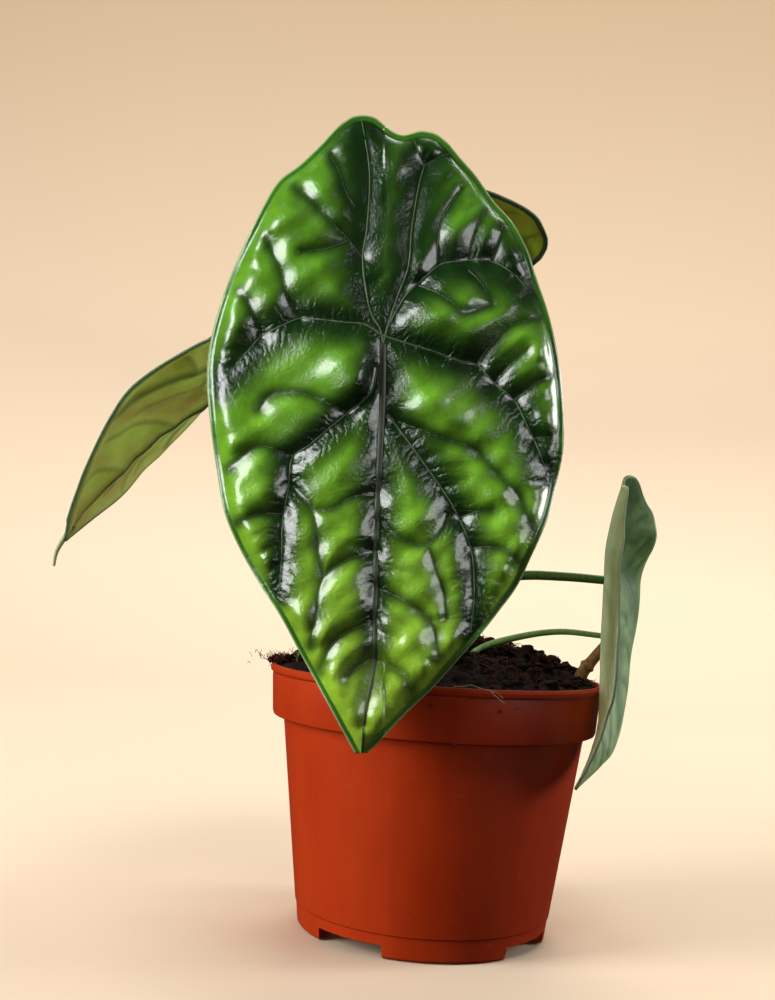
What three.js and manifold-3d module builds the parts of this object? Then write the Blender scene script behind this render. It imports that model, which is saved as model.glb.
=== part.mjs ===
// A young alocasia in a small nursery pot: a thin moulded pot with a banded rim, potting mix,
// a short crown, three quilted blades on slim petioles, and two old stems without blades.
// Millimetres, +Z up. The origin is the centre of the pot's underside, and the front faces -Y.
import * as THREE from "three";
import { mergeVertices } from "three/addons/utils/BufferGeometryUtils.js";
import Module from "manifold-3d";

const wasm = await Module();
wasm.setup();

// The pot, measured outside unless it says otherwise
const POT_HEIGHT = 54;
const RIM_RADIUS = 36;
const BAND_HEIGHT = 10.7;
const BAND_FOOT_RADIUS = 34.9;
const BODY_TOP_RADIUS = 32.5;
const FOOT_RADIUS = 26.5;
const WALL = 1;
const FLOOR_HEIGHT = 2.6;
const FLOOR_THICKNESS = 1.2;
const PAD_RADIUS = 6;
const POT_SIDES = 44;
const DRAIN_ARCHES = 4;
const ARCH_ANGLE = THREE.MathUtils.degToRad(34);
const FIRST_ARCH_ANGLE = THREE.MathUtils.degToRad(237.5);
const DRAIN_HOLE_RADIUS = 2.4;
const DRAIN_HOLE_RING = 17;

// The potting mix, heaped a little over the rim, and its crumbs
const GAP = 0.3;
const MIX_EDGE_HEIGHT = 53.6;
const MIX_HEAP = 5.2;
const MIX_BACK_RISE = 3;
const MIX_TILT = 0.018;
const MIX_RINGS = 7;
const MIX_SIDES = 32;
const CRUMB_COUNT = 38;
const CRUMB_SIZES = [1.1, 2.3];

// The blades. One drawing serves all three, at the front blade's true size.
const BLADE_THICKNESS = 0.9;
const BLADE_TOP = 41.8;
const BLADE_TIP = -79.2;
const QUILT_DEPTH = 1.9;
const QUILT_REACH = 7;
const PUCKER_DEPTH = 0.8;
const PUCKER_REACH = 3.2;
const FLAT_MARGIN = 1.6;
const FULL_RELIEF_FROM = 6;
const MARGIN_WAVE = 0.7;
const CURL_WIDTH = 9;
const CURL_FROM = -48;
const CURL_FULL_FROM = -12;
const RISE_STATIONS = [0, 0.15, 0.35, 0.6, 0.8, 1];

// The front blade was measured from here, so its drawing lies square to this line of sight
const EYE = new THREE.Vector3(0, -264.2, 74.3);
const AIM = new THREE.Vector3(-13.2, 0, 90.9);
const HEAD_TILT = THREE.MathUtils.degToRad(3.9);

// Where the blades join their petioles
const FRONT_JUNCTION = new THREE.Vector3(-14, -40, 119.4);

const CROWN_CENTRE = new THREE.Vector2(-6, 1);
const CROWN_RADIUS = 7;
const CROWN_HEIGHT = 16;
const CROWN_SEAT = POT_HEIGHT - 8;

const FINISHES = {
  pot: { color: 0xa8350f, roughness: 0.45 },
  mix: { color: 0x1d100a, roughness: 0.95 },
  crown: { color: 0x5a4a2c, roughness: 0.8 },
  petiole: { color: 0x3e5a26, roughness: 0.5 },
  oldPetiole: { color: 0x5e7a3e, roughness: 0.5 },
  dryStub: { color: 0x7a5a3c, roughness: 0.8 },
  frontBlade: { color: 0x3f7a1e, roughness: 0.25 },
  rearBlade: { color: 0x4a6a34, roughness: 0.35 },
  rightBlade: { color: 0x6a8a5a, roughness: 0.35 },
};

// The drawing: margins from the tip up, then the top edge over both lobes with the cleft between
const LEFT_MARGIN = [
  [-5.5, -79.0], [-8.3, -73.9], [-12.5, -66.2], [-16.2, -59.4], [-19.7, -52.9], [-23.6, -46.8],
  [-27.5, -39.9], [-30.2, -33.4], [-31.5, -26.2], [-32.8, -17.2], [-33.5, -7.1], [-32.6, 0],
  [-30.0, 8.8], [-26.7, 16.8], [-23.3, 23.7], [-19.8, 29.4], [-16.0, 32.3], [-12.2, 35.9],
  [-8.4, 39.9], [-6.0, 41.5],
];
const RIGHT_MARGIN = [
  [-3.1, -78.9], [-1.5, -77.5], [1.0, -74.8], [5.0, -70.7], [9.0, -66.9], [14.4, -60.9],
  [18.7, -56.0], [22.0, -51.8], [25.2, -47.4], [27.6, -42.4], [30.8, -35.1], [32.5, -28.5],
  [33.9, -21.9], [34.0, -14.9], [33.2, -5.5], [31.3, 3.7], [29.0, 10.6], [27.1, 16.4],
  [24.1, 21.8], [21.0, 25.2], [17.4, 30.3], [14.5, 33.6], [12.4, 36.2],
];
const TOP_EDGE = [
  [-6.0, 41.5], [-4.0, 41.8], [-1.7, 41.3], [0.2, 39.8], [2.0, 38.5], [3.6, 38.0],
  [5.3, 38.4], [6.9, 38.8], [8.5, 38.6], [9.9, 38.2], [11.3, 37.2], [12.4, 36.2],
];

// Sunken veins: the midrib, the lobes' ribs, the two basal ribs and the strong laterals
const MAIN_VEINS = [
  [[-0.2, -1.7], [-0.3, -12.2], [-0.9, -25.6], [-1.3, -33.8], [-1.6, -48.3], [-2.0, -63.4],
    [-3.4, -70.7], [-4.2, -78.7]],
  [[-0.2, -1.7], [-0.6, 1.1], [-2.3, 4.0], [-3.4, 8.8], [-4.0, 14.5], [-3.2, 20.4], [-2.7, 30.8],
    [-4.2, 40.9]],
  [[-0.2, -1.7], [0.8, 2.1], [2.7, 7.8], [4.6, 13.0], [5.3, 20.6], [6.7, 28.8], [7.6, 32.1]],
  [[-0.2, 0], [-3.6, 2.1], [-7.4, 2.5], [-16, 3.2], [-19.3, 1.9], [-23.3, -0.2], [-25.6, -2.7],
    [-29, -6.9], [-31.1, -9.0]],
  [[-0.2, 0], [5.3, -1.7], [9.9, -3.1], [14.5, -4.8], [17.6, -5.5], [21, -9.1], [24.6, -12.2],
    [27.1, -17], [29.4, -21.9], [30.9, -26.4]],
  [[0.8, 1.9], [2.5, 4.9], [4.3, 7.9], [7.6, 10.9], [10.6, 13.4], [15.5, 14.2], [20.2, 14.1],
    [24.1, 12], [27.3, 8.8]],
  [[-1.3, -6.1], [-2.3, -10.5], [-4.0, -12.4], [-7.0, -14.7], [-10.9, -18.0], [-14.4, -20.9],
    [-17.2, -22.9], [-18, -28.1], [-19.2, -36.1], [-19.3, -40.9], [-19.8, -48.7]],
  [[0.7, -14.9], [5.3, -21], [10.9, -28.9], [13.4, -32.9], [16.4, -40.1], [17.1, -46.6],
    [16.9, -52], [16.4, -56]],
];

// Finer veins that branch from them
const SIDE_VEINS = [
  [[-4.2, 14.9], [-6.5, 18.0], [-10.3, 22.0], [-14.1, 25.8], [-16.8, 28.0]],
  [[-6.7, 18.0], [-11.3, 16.4], [-15.5, 16.0]],
  [[-5.5, 24.4], [-7.3, 27.5], [-8.4, 30.8], [-10.1, 34.2]],
  [[-16, 3.2], [-18.3, 7.3], [-19.3, 11.7], [-22.2, 18.3]],
  [[-23.3, -0.2], [-25.6, 6.3], [-27.1, 8.2]],
  [[-7.1, -14.5], [-10.5, -12.8], [-15.9, -10.8], [-21.9, -11.4], [-23.7, -14.1]],
  [[-17.2, -22.7], [-23.7, -20.9], [-29.2, -25]],
  [[-19.2, -33.6], [-24.3, -33.8], [-27.9, -35.5]],
  [[-17, -28.8], [-13.6, -32.9], [-12.2, -42], [-11.4, -45.6]],
  [[-1.6, -29.8], [-6.3, -30.6], [-9.7, -32.7], [-13.3, -33.0]],
  [[-1.6, -40.9], [-6.7, -42.3], [-11.4, -45.8], [-12.8, -52], [-13.9, -58.8]],
  [[-2.5, -54.2], [-6.5, -55.8], [-9.2, -57.6], [-12.2, -63.4]],
  [[-2.7, -61.3], [-5, -62.9], [-6.9, -65]],
  [[-1.3, -61.3], [1.3, -62.5], [4, -64.4], [5.3, -68.6]],
  [[-0.8, -47.8], [2.7, -49.5], [7.8, -52.9], [9.4, -55.5], [10.2, -60.5]],
  [[-0.4, -35.4], [2.2, -37.8], [8, -39.6], [10.9, -36.7], [11.8, -33.8]],
  [[8.5, -40.1], [9.5, -43.2], [11.5, -49.7], [11.8, -53.1]],
  [[14.5, -34.4], [17.4, -33.3], [20.4, -32.9]],
  [[16.8, -40.1], [19.7, -39.9], [22.9, -40.5], [25.5, -42.9]],
  [[2.7, -16.2], [11.1, -19.3], [17.4, -21.6], [20.4, -24.8], [25.8, -31], [28.1, -37.1]],
  [[17.6, -5.3], [20.8, -1.1], [24.6, 2.1], [29.4, 3.4]],
  [[21, -9], [23.9, -5.5], [27.1, -2.8]],
  [[24.6, -12.2], [28.3, -9.4], [31.7, -7.4]],
  [[28.5, -19.3], [32.9, -19.1]],
  [[6.4, 9.6], [9.9, 8.2], [12.4, 6.7], [15.5, 4.4], [20.4, 5.8]],
  [[16, 12.4], [18.5, 9.9], [20.2, 6.7]],
  [[20.4, 14.5], [21.6, 17.2], [22.5, 21]],
  [[10.1, 14.1], [10.3, 18.3], [11.1, 22.2], [14.5, 27.6]],
  [[16, 14.1], [17.1, 19.5], [19.2, 23.7]],
  [[7.6, 32.1], [6.4, 35.0], [5.7, 37.1]],
  [[7.6, 32.1], [10.7, 34.0], [13.6, 34.6]],
];

const drawnLine = (points) =>
  new THREE.CatmullRomCurve3(points.map(([x, y]) => new THREE.Vector3(x, y, 0)), false, "centripetal");

const leftMargin = drawnLine(LEFT_MARGIN);
const rightMargin = drawnLine(RIGHT_MARGIN);
const topEdge = drawnLine(TOP_EDGE);
const tipLeft = leftMargin.getPoint(0);
const tipRight = rightMargin.getPoint(0);
const lobeLeft = leftMargin.getPoint(1);
const lobeRight = rightMargin.getPoint(1);

// A point of the drawing: s runs across from the left margin, t up from the tip to the top edge
function drawnPoint(s, t) {
  const across = leftMargin.getPointAt(t).multiplyScalar(1 - s).addScaledVector(rightMargin.getPointAt(t), s);
  const along = tipLeft.clone().lerp(tipRight, s).multiplyScalar(1 - t).addScaledVector(topEdge.getPointAt(s), t);
  const corners = tipLeft.clone().lerp(tipRight, s).multiplyScalar(1 - t)
    .add(lobeLeft.clone().lerp(lobeRight, s).multiplyScalar(t));
  return across.add(along).sub(corners);
}

function segmentsOf(curves, pieces) {
  return curves.flatMap((curve) => {
    const points = curve.getPoints(pieces);
    return points.slice(1).map((end, i) => [points[i], end]);
  });
}

const VEIN_STEPS = 14;
const MARGIN_STEPS = 60;
const mainSegments = segmentsOf(MAIN_VEINS.map(drawnLine), VEIN_STEPS);
const allSegments = mainSegments.concat(segmentsOf(SIDE_VEINS.map(drawnLine), VEIN_STEPS));
const marginSegments = segmentsOf([leftMargin, rightMargin, topEdge], MARGIN_STEPS);

function distanceTo(segments, x, y) {
  let nearest = Infinity;
  for (const [a, b] of segments) {
    const dx = b.x - a.x;
    const dy = b.y - a.y;
    const length2 = dx * dx + dy * dy || 1;
    const k = THREE.MathUtils.clamp(((x - a.x) * dx + (y - a.y) * dy) / length2, 0, 1);
    nearest = Math.min(nearest, Math.hypot(x - a.x - k * dx, y - a.y - k * dy));
  }
  return nearest;
}

// A quarter-round swell that rises steeply from a vein and levels out at its reach
function swell(distance, reach) {
  const rest = 1 - Math.min(distance / reach, 1);
  return Math.sqrt(1 - rest * rest);
}

// Height of the quilted face over the blade's plain surface: nil along the veins and the margin
function quilting(x, y, margin) {
  const inside = THREE.MathUtils.smoothstep(margin, FLAT_MARGIN, FULL_RELIEF_FROM);
  const quilt = QUILT_DEPTH * swell(distanceTo(mainSegments, x, y), QUILT_REACH);
  const pucker = PUCKER_DEPTH * swell(distanceTo(allSegments, x, y), PUCKER_REACH);
  const wave = MARGIN_WAVE * Math.sin(0.33 * y + (x > 0 ? 1.7 : 0)) * Math.exp(-margin / 6);
  return inside * (quilt + pucker) + wave;
}

// A closed blade: a grid, the same grid behind it with its faces turned round, and its edge.
// Both faces are split into the same triangles, so they never cross. Extra thickens it both ways.
// A mirrored blade's grid runs from its right margin to its left, so its faces still look outward.
function bladeGeometry({ columns, rows, place, mirrored = false }, extra = 0) {
  const grid = new THREE.PlaneGeometry(1, 1, columns, rows);
  const uv = grid.getAttribute("uv");
  const count = uv.count;
  const positions = new Float32Array(count * 6);
  for (let i = 0; i < count; i++) {
    const { x, y } = drawnPoint(mirrored ? 1 - uv.getX(i) : uv.getX(i), uv.getY(i));
    const margin = distanceTo(marginSegments, x, y);
    const height = quilting(x, y, margin);
    place(x, y, height, -extra, margin).toArray(positions, i * 3);
    place(x, y, height, BLADE_THICKNESS + extra, margin).toArray(positions, (count + i) * 3);
  }
  const front = Array.from(grid.index.array);
  const faces = [...front];
  for (let i = 0; i < front.length; i += 3) {
    faces.push(front[i] + count, front[i + 2] + count, front[i + 1] + count);
  }
  const row = columns + 1;
  const rim = [];
  for (let i = 0; i < columns; i++) rim.push(i);
  for (let j = 0; j < rows; j++) rim.push(columns + j * row);
  for (let i = columns; i > 0; i--) rim.push(rows * row + i);
  for (let j = rows; j > 0; j--) rim.push(j * row);
  rim.forEach((a, i) => {
    const b = rim[(i + 1) % rim.length];
    faces.push(a, b, b + count, a, b + count, a + count);
  });
  const geometry = new THREE.BufferGeometry();
  geometry.setAttribute("position", new THREE.BufferAttribute(positions, 3));
  geometry.setIndex(faces);
  return geometry;
}

// Lines of sight from the eye: the blade's drawing stands square to them at the junction
const sight = AIM.clone().sub(EYE).normalize();
const level = new THREE.Vector3().crossVectors(sight, new THREE.Vector3(0, 0, 1)).normalize();
const upright = new THREE.Vector3().crossVectors(level, sight);
const drawnRight = level.clone().multiplyScalar(Math.cos(HEAD_TILT)).addScaledVector(upright, Math.sin(HEAD_TILT));
const drawnUp = upright.clone().multiplyScalar(Math.cos(HEAD_TILT)).addScaledVector(level, -Math.sin(HEAD_TILT));
const junctionDepth = FRONT_JUNCTION.clone().sub(EYE).dot(sight);

const FRONT_LEAN = 0.1;
const FRONT_TOP_BEND = 0.0027;
const FRONT_CAMBER = { left: 0.0035, right: -0.001 };

// The front blade hangs facing forward: it leans, its top bends back, its left side falls away
// and its right side comes a little forward
function placeFrontBlade(x, y, height, behind) {
  const camber = x < 0 ? FRONT_CAMBER.left : FRONT_CAMBER.right;
  const bend = FRONT_LEAN * y + FRONT_TOP_BEND * Math.max(y, 0) ** 2 + camber * x * x;
  const setBack = bend + behind - height;
  return FRONT_JUNCTION.clone()
    .addScaledVector(drawnRight, x)
    .addScaledVector(drawnUp, y)
    .sub(EYE)
    .multiplyScalar((junctionDepth + setBack) / junctionDepth)
    .add(EYE);
}

// The rise of a half at a place along the midrib, from its rises at the stations from lobes to tip
function riseAt(rises, along) {
  return rises.reduce((rise, next, i) => {
    if (i === 0) return next;
    const reached = THREE.MathUtils.smoothstep(along, RISE_STATIONS[i - 1], RISE_STATIONS[i]);
    return rise + (next - rises[i - 1]) * reached;
  }, 0);
}

// A blade laid along a bent midrib. Each half rises from it towards the face by its own degrees,
// and the margin of the broad part curls down again by the curl. A mirrored blade is drawn the
// other way round.
function bladeAlong({ midrib, face, leftRises, rightRises, size, curl, relief, foldRounding, mirrored }) {
  const curve = new THREE.CatmullRomCurve3(midrib, false, "centripetal");
  return (x, y, height, behind, margin) => {
    const along = THREE.MathUtils.clamp((BLADE_TOP - y) / (BLADE_TOP - BLADE_TIP), 0, 1);
    const centre = curve.getPointAt(along);
    const tangent = curve.getTangentAt(along);
    const normal = face.clone().addScaledVector(tangent, -face.dot(tangent)).normalize();
    const side = new THREE.Vector3().crossVectors(normal, tangent);
    const across = (x - midribOffset(y)) * (mirrored ? -size : size);
    const rise = THREE.MathUtils.degToRad(riseAt(across < 0 ? leftRises : rightRises, along));
    const lift = (Math.hypot(across, foldRounding) - foldRounding) * Math.sin(rise);
    const broad = THREE.MathUtils.smoothstep(y, CURL_FROM, CURL_FULL_FROM);
    const drop = curl * broad * Math.max(0, 1 - margin / CURL_WIDTH) ** 2;
    return centre
      .addScaledVector(side, across * Math.cos(rise))
      .addScaledVector(normal, lift - drop + height * relief - behind);
  };
}

// The midrib wanders from the drawing's centre line towards the blunt tip
function midribOffset(y) {
  return y < 0 ? -4.2 * (y / BLADE_TIP) ** 2 : 0;
}

const points = (list) => list.map(([x, y, z]) => new THREE.Vector3(x, y, z));

const REAR_BLADE = {
  midrib: points([[17.5, 25.1, 151.3], [0.2, 13.8, 149.7], [-17.8, 14.2, 140.2], [-35.6, 9.7, 128.3],
    [-55.6, 5.2, 110.7], [-65.7, 1.9, 101.6], [-75.9, -1.6, 88.7], [-83.7, -4.4, 77.2]]),
  face: new THREE.Vector3(0, 0, 1),
  leftRises: [12.8, 12.9, 12.1, 8.5, -10.4, -32.8],
  rightRises: [35.8, 33.1, 20.4, 13.2, 28.1, 43.6],
  size: 1.124,
  curl: 3,
  relief: 0.6,
  foldRounding: 2,
  mirrored: false,
};
const REAR_DRIP = {
  path: points([[-81.6, -3.6, 80.5], [-83.4, -4.3, 77.4], [-84.6, -4.8, 74.4], [-84.8, -5.2, 71.4]]),
  radii: [0.75, 0.35],
  sides: 6,
  steps: 8,
};

const RIGHT_BLADE = {
  midrib: points([[36.7, -14.4, 98.4], [34.9, -12.5, 90.7], [33.9, -11.3, 83.0], [34.0, -10.9, 75.4],
    [34.0, -11.4, 65.2], [34.1, -12.9, 55.8], [33.9, -15.2, 47.5], [32.7, -17.6, 42.5], [29.2, -21.8, 34.6]]),
  face: new THREE.Vector3(1, 0, 0),
  leftRises: [2.8, 4.2, 1.5, 1.9, 2.8, 12.2],
  rightRises: [60.1, 57.3, 33.6, 29.4, 32.6, 22.6],
  size: 0.577,
  curl: 0,
  relief: 0.2,
  foldRounding: 1,
  mirrored: true,
};

// A stem along a curve: an extruded round section, drawn in towards its top. What extra adds to
// its radius and its foot makes the hole that it stands in.
function stemGeometry({ path, radii, sides = 8, steps = 18, swollen = 1 }, extra = 0) {
  const foot = path[0].clone().lerp(path[1], -extra / path[0].distanceTo(path[1]));
  const curve = new THREE.CatmullRomCurve3([foot, ...path.slice(1)], false, "centripetal");
  const [bottomRadius, topRadius] = radii;
  const section = new THREE.Shape();
  for (let i = 0; i < sides; i++) {
    const angle = (i / sides) * Math.PI * 2;
    const method = i === 0 ? "moveTo" : "lineTo";
    section[method](Math.cos(angle), Math.sin(angle));
  }
  const geometry = new THREE.ExtrudeGeometry(section, { steps, extrudePath: curve, bevelEnabled: false });
  const centres = curve.getSpacedPoints(steps);
  const position = geometry.getAttribute("position");
  const point = new THREE.Vector3();
  for (let i = 0; i < position.count; i++) {
    point.fromBufferAttribute(position, i);
    const gaps = centres.map((centre) => Math.abs(centre.distanceTo(point) - 1));
    const step = gaps.indexOf(Math.min(...gaps));
    const share = step / steps;
    const sheath = 1 + (swollen - 1) * Math.max(0, 1 - share / 0.3);
    const radius = THREE.MathUtils.lerp(bottomRadius, topRadius, share) * sheath + extra;
    point.sub(centres[step]).multiplyScalar(radius).add(centres[step]);
    position.setXYZ(i, point.x, point.y, point.z);
  }
  return geometry;
}

const STEMS = {
  front_petiole: {
    path: points([[-8.6, -1.6, 55], [-9, -2, 63], [-11.5, -4, 78], [-14.5, -8, 94], [-15.8, -15, 108],
      [-15, -27, 117.5], [-14, -40.8, 119.4]]),
    radii: [1.9, 1.5],
    swollen: 1.4,
    carries: "front",
    finish: FINISHES.petiole,
  },
  rear_petiole: {
    path: points([[-5.8, 4.2, 55], [-5.8, 5, 63], [-6.5, 9, 80], [-9, 13.5, 102], [-13.5, 15.5, 120],
      [-19, 14.4, 132], [-22.2, 13.3, 137.6]]),
    radii: [1.9, 1.4],
    swollen: 1.4,
    carries: "rear",
    finish: FINISHES.petiole,
  },
  right_petiole: {
    path: points([[-2.4, -0.3, 55], [-1.6, -0.6, 62.5], [1.8, -1.8, 69], [8, -3.8, 74], [16.5, -6, 76.2],
      [26, -8.5, 76.6], [34.3, -11, 76.4]]),
    radii: [1.3, 0.9],
    swollen: 1.5,
    carries: "right",
    finish: FINISHES.petiole,
  },
  old_petiole: {
    path: points([[3.5, 0, 49], [5, -0.5, 55.5], [9.1, -2, 59.8], [17.5, -3, 63.1], [25.9, -4, 64.8],
      [35.4, -6.5, 64.6]]),
    radii: [0.85, 0.6],
    finish: FINISHES.oldPetiole,
  },
  dry_stub: {
    path: points([[29, -4, 49.5], [31.3, -4, 56.6], [33.1, -4, 59.2], [35, -4, 61.8], [36.5, -4.2, 63.8]]),
    radii: [1.6, 1.0],
    steps: 12,
    finish: FINISHES.dryStub,
  },
};

// Turns a closed three.js geometry into a solid that can be joined and cut, and back
function solidOf(geometry) {
  const bare = geometry.index ? geometry.toNonIndexed() : geometry.clone();
  bare.deleteAttribute("normal");
  bare.deleteAttribute("uv");
  const merged = mergeVertices(bare, 1e-4);
  const mesh = new wasm.Mesh({
    numProp: 3,
    vertProperties: merged.getAttribute("position").array,
    triVerts: new Uint32Array(merged.index.array),
  });
  return new wasm.Manifold(mesh);
}

function geometryOf(solid) {
  const { vertProperties, triVerts } = solid.getMesh();
  const geometry = new THREE.BufferGeometry();
  geometry.setAttribute("position", new THREE.BufferAttribute(vertProperties, 3));
  geometry.setIndex(new THREE.BufferAttribute(triVerts, 1));
  return geometry;
}

// The largest body of a solid, without the loose scraps that a cut leaves
const wholeOf = (solid) => solid.decompose().sort((a, b) => b.volume() - a.volume())[0];

const upward = (geometry) => geometry.rotateX(Math.PI / 2);
const turned = (profile, sides) =>
  upward(new THREE.LatheGeometry(profile.map(([r, z]) => new THREE.Vector2(r, z)), sides));

const PLUG_SIDES = 16;
const plug = (x, y, radius, low, high) =>
  upward(new THREE.CylinderGeometry(radius, radius, high - low, PLUG_SIDES)).translate(x, y, (low + high) / 2);

// The pot: a foot skirt with drain arches, a tapered body, and a band that steps out at the rim
function potGeometry() {
  const shelf = POT_HEIGHT - BAND_HEIGHT;
  const floorTop = FLOOR_HEIGHT + FLOOR_THICKNESS;
  const inside = (radius) => radius - WALL;
  const profile = [
    [0, 0],
    [PAD_RADIUS, 0],
    [PAD_RADIUS + 0.6, FLOOR_HEIGHT],
    [FOOT_RADIUS - 1.4, FLOOR_HEIGHT],
    [FOOT_RADIUS - 1.2, 0],
    [FOOT_RADIUS - 0.3, 0],
    [FOOT_RADIUS, 0.4],
    [FOOT_RADIUS + 0.5, 4.6],
    [FOOT_RADIUS + 0.75, 5],
    [BODY_TOP_RADIUS, shelf],
    [BAND_FOOT_RADIUS - 0.7, shelf],
    [BAND_FOOT_RADIUS - 0.2, shelf + 0.2],
    [BAND_FOOT_RADIUS, shelf + 0.8],
    [RIM_RADIUS - 0.55, POT_HEIGHT - 2.4],
    [RIM_RADIUS - 0.6, POT_HEIGHT - 1.8],
    [RIM_RADIUS - 0.1, POT_HEIGHT - 1.3],
    [RIM_RADIUS, POT_HEIGHT - 0.6],
    [RIM_RADIUS - 0.4, POT_HEIGHT],
    [inside(RIM_RADIUS), POT_HEIGHT],
    [inside(RIM_RADIUS) - 0.4, POT_HEIGHT - 0.8],
    [inside(BAND_FOOT_RADIUS), shelf + WALL + 0.5],
    [inside(BODY_TOP_RADIUS) + 0.2, shelf + WALL],
    [inside(BODY_TOP_RADIUS), shelf],
    [inside(FOOT_RADIUS) + 0.4, floorTop],
    [0, floorTop],
  ];
  let pot = solidOf(turned(profile, POT_SIDES));
  for (let i = 0; i < DRAIN_ARCHES; i++) {
    const middle = FIRST_ARCH_ANGLE + (i * Math.PI * 2) / DRAIN_ARCHES;
    pot = pot.subtract(solidOf(archCutter(middle)));
    const x = DRAIN_HOLE_RING * Math.cos(middle);
    const y = DRAIN_HOLE_RING * Math.sin(middle);
    pot = pot.subtract(solidOf(plug(x, y, DRAIN_HOLE_RADIUS, FLOOR_HEIGHT - 1, floorTop + 1)));
  }
  return geometryOf(pot);
}

// A slice of a ring that cuts one arch through the foot skirt
function archCutter(middle) {
  const [inner, outer] = [FOOT_RADIUS - 3, FOOT_RADIUS + 3];
  const slice = new THREE.Shape();
  slice.absarc(0, 0, outer, middle - ARCH_ANGLE / 2, middle + ARCH_ANGLE / 2, false);
  slice.absarc(0, 0, inner, middle + ARCH_ANGLE / 2, middle - ARCH_ANGLE / 2, true);
  slice.closePath();
  const below = 1;
  return new THREE.ExtrudeGeometry(slice, {
    depth: FLOOR_HEIGHT - 0.1 + below,
    bevelEnabled: false,
    curveSegments: 6,
  }).translate(0, 0, -below);
}

// Repeatable draws between 0 and 1
function draws(seed) {
  let state = seed;
  return () => {
    state = (state * 1664525 + 1013904223) % 4294967296;
    return state / 4294967296;
  };
}

// Height of the mix at a place: a heap that is highest behind the crown and lower at the front
function mixHeight(x, y) {
  const reach = Math.min(Math.hypot(x, y) / (RIM_RADIUS - WALL), 1);
  const heap = MIX_HEAP * (1 - reach ** 3) * (1 + MIX_TILT * y);
  const back = (MIX_BACK_RISE * Math.max(y, 0)) / RIM_RADIUS;
  const lumps = 0.7 * Math.sin(0.55 * x + 1) * Math.cos(0.6 * y - 0.4) + 0.4 * Math.sin(1.3 * x - 0.8 * y);
  return MIX_EDGE_HEIGHT + heap + back + lumps * (1 - reach ** 6);
}

function crumbs() {
  const draw = draws(7);
  const [smallest, largest] = CRUMB_SIZES;
  const list = [];
  for (let i = 0; i < CRUMB_COUNT; i++) {
    const size = smallest + (largest - smallest) * draw() ** 2;
    const distance = Math.sqrt(draw()) * (RIM_RADIUS - WALL - 2.2 - size);
    const angle = draw() * Math.PI * 2;
    const [x, y] = [distance * Math.cos(angle), distance * Math.sin(angle)];
    const crumb = new THREE.IcosahedronGeometry(size, 0);
    crumb.rotateX(draw() * 3).rotateZ(draw() * 3);
    crumb.scale(1 + 0.3 * draw(), 1, 0.7 + 0.4 * draw());
    list.push(crumb.translate(x, y, mixHeight(x, y) + size * 0.25));
  }
  return list;
}

// The mix fills the pot down to its floor, with plain holes for the crown and the old stems
function mixGeometry() {
  const shelf = POT_HEIGHT - BAND_HEIGHT;
  const wallGap = WALL + GAP;
  const edge = RIM_RADIUS - wallGap - 0.5;
  const profile = [
    [0, FLOOR_HEIGHT + FLOOR_THICKNESS + GAP],
    [FOOT_RADIUS - wallGap + 0.2, FLOOR_HEIGHT + FLOOR_THICKNESS + GAP],
    [BODY_TOP_RADIUS - wallGap - 0.1, shelf + 0.2],
    [BODY_TOP_RADIUS - wallGap - 0.1, shelf + WALL + GAP],
    [BAND_FOOT_RADIUS - wallGap - 0.3, shelf + WALL + GAP + 0.6],
    [edge, POT_HEIGHT - 1.2],
  ];
  for (let i = 0; i < MIX_RINGS; i++) profile.push([edge * (1 - i / MIX_RINGS) - 0.2, POT_HEIGHT]);
  profile.push([0, POT_HEIGHT]);
  const heap = turned(profile, MIX_SIDES);
  const position = heap.getAttribute("position");
  for (let i = 0; i < position.count; i++) {
    if (position.getZ(i) < POT_HEIGHT - 0.01) continue;
    position.setZ(i, mixHeight(position.getX(i), position.getY(i)));
  }
  let mix = wasm.Manifold.union([solidOf(heap), ...crumbs().map(solidOf)]);
  const { x, y } = CROWN_CENTRE;
  mix = mix.subtract(solidOf(plug(x, y, CROWN_RADIUS + GAP, CROWN_SEAT, CROWN_SEAT + 2 * CROWN_HEIGHT)));
  mix = mix.subtract(solidOf(stemGeometry(STEMS.old_petiole, GAP)));
  mix = mix.subtract(solidOf(stemGeometry(STEMS.dry_stub, GAP)));
  return geometryOf(wholeOf(mix));
}

// The crown: a short ringed stem with a socket for each living petiole
function crownGeometry() {
  const low = CROWN_SEAT + GAP;
  const profile = [
    [0, low],
    [CROWN_RADIUS - 0.8, low],
    [CROWN_RADIUS - 0.2, low + 4],
    [CROWN_RADIUS - 0.5, low + 8],
    [CROWN_RADIUS - 0.1, low + 9],
    [CROWN_RADIUS - 0.7, low + 12],
    [CROWN_RADIUS - 0.3, low + 13],
    [CROWN_RADIUS - 1.2, low + 15.2],
    [0, low + CROWN_HEIGHT],
  ];
  const { x, y } = CROWN_CENTRE;
  let crown = solidOf(turned(profile, 16).translate(x, y, 0));
  for (const stem of Object.values(STEMS).filter(({ carries }) => carries)) {
    crown = crown.subtract(solidOf(stemGeometry(stem, GAP)));
  }
  return geometryOf(crown);
}

const BLADES = {
  front: { columns: 26, rows: 48, place: placeFrontBlade },
  rear: { columns: 18, rows: 34, place: bladeAlong(REAR_BLADE) },
  right: { columns: 14, rows: 26, place: bladeAlong(RIGHT_BLADE), mirrored: RIGHT_BLADE.mirrored },
};

// The rear blade keeps its drip tip, a thread that hangs from the point
function rearBladeGeometry() {
  const blade = solidOf(bladeGeometry(BLADES.rear));
  return geometryOf(blade.add(solidOf(stemGeometry(REAR_DRIP))));
}

// A living petiole runs up to the underside of its blade and is cut to fit it
function petioleGeometry(stem, blade) {
  const petiole = solidOf(stemGeometry(stem));
  return geometryOf(wholeOf(petiole.subtract(solidOf(bladeGeometry(blade, GAP)))));
}

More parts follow.
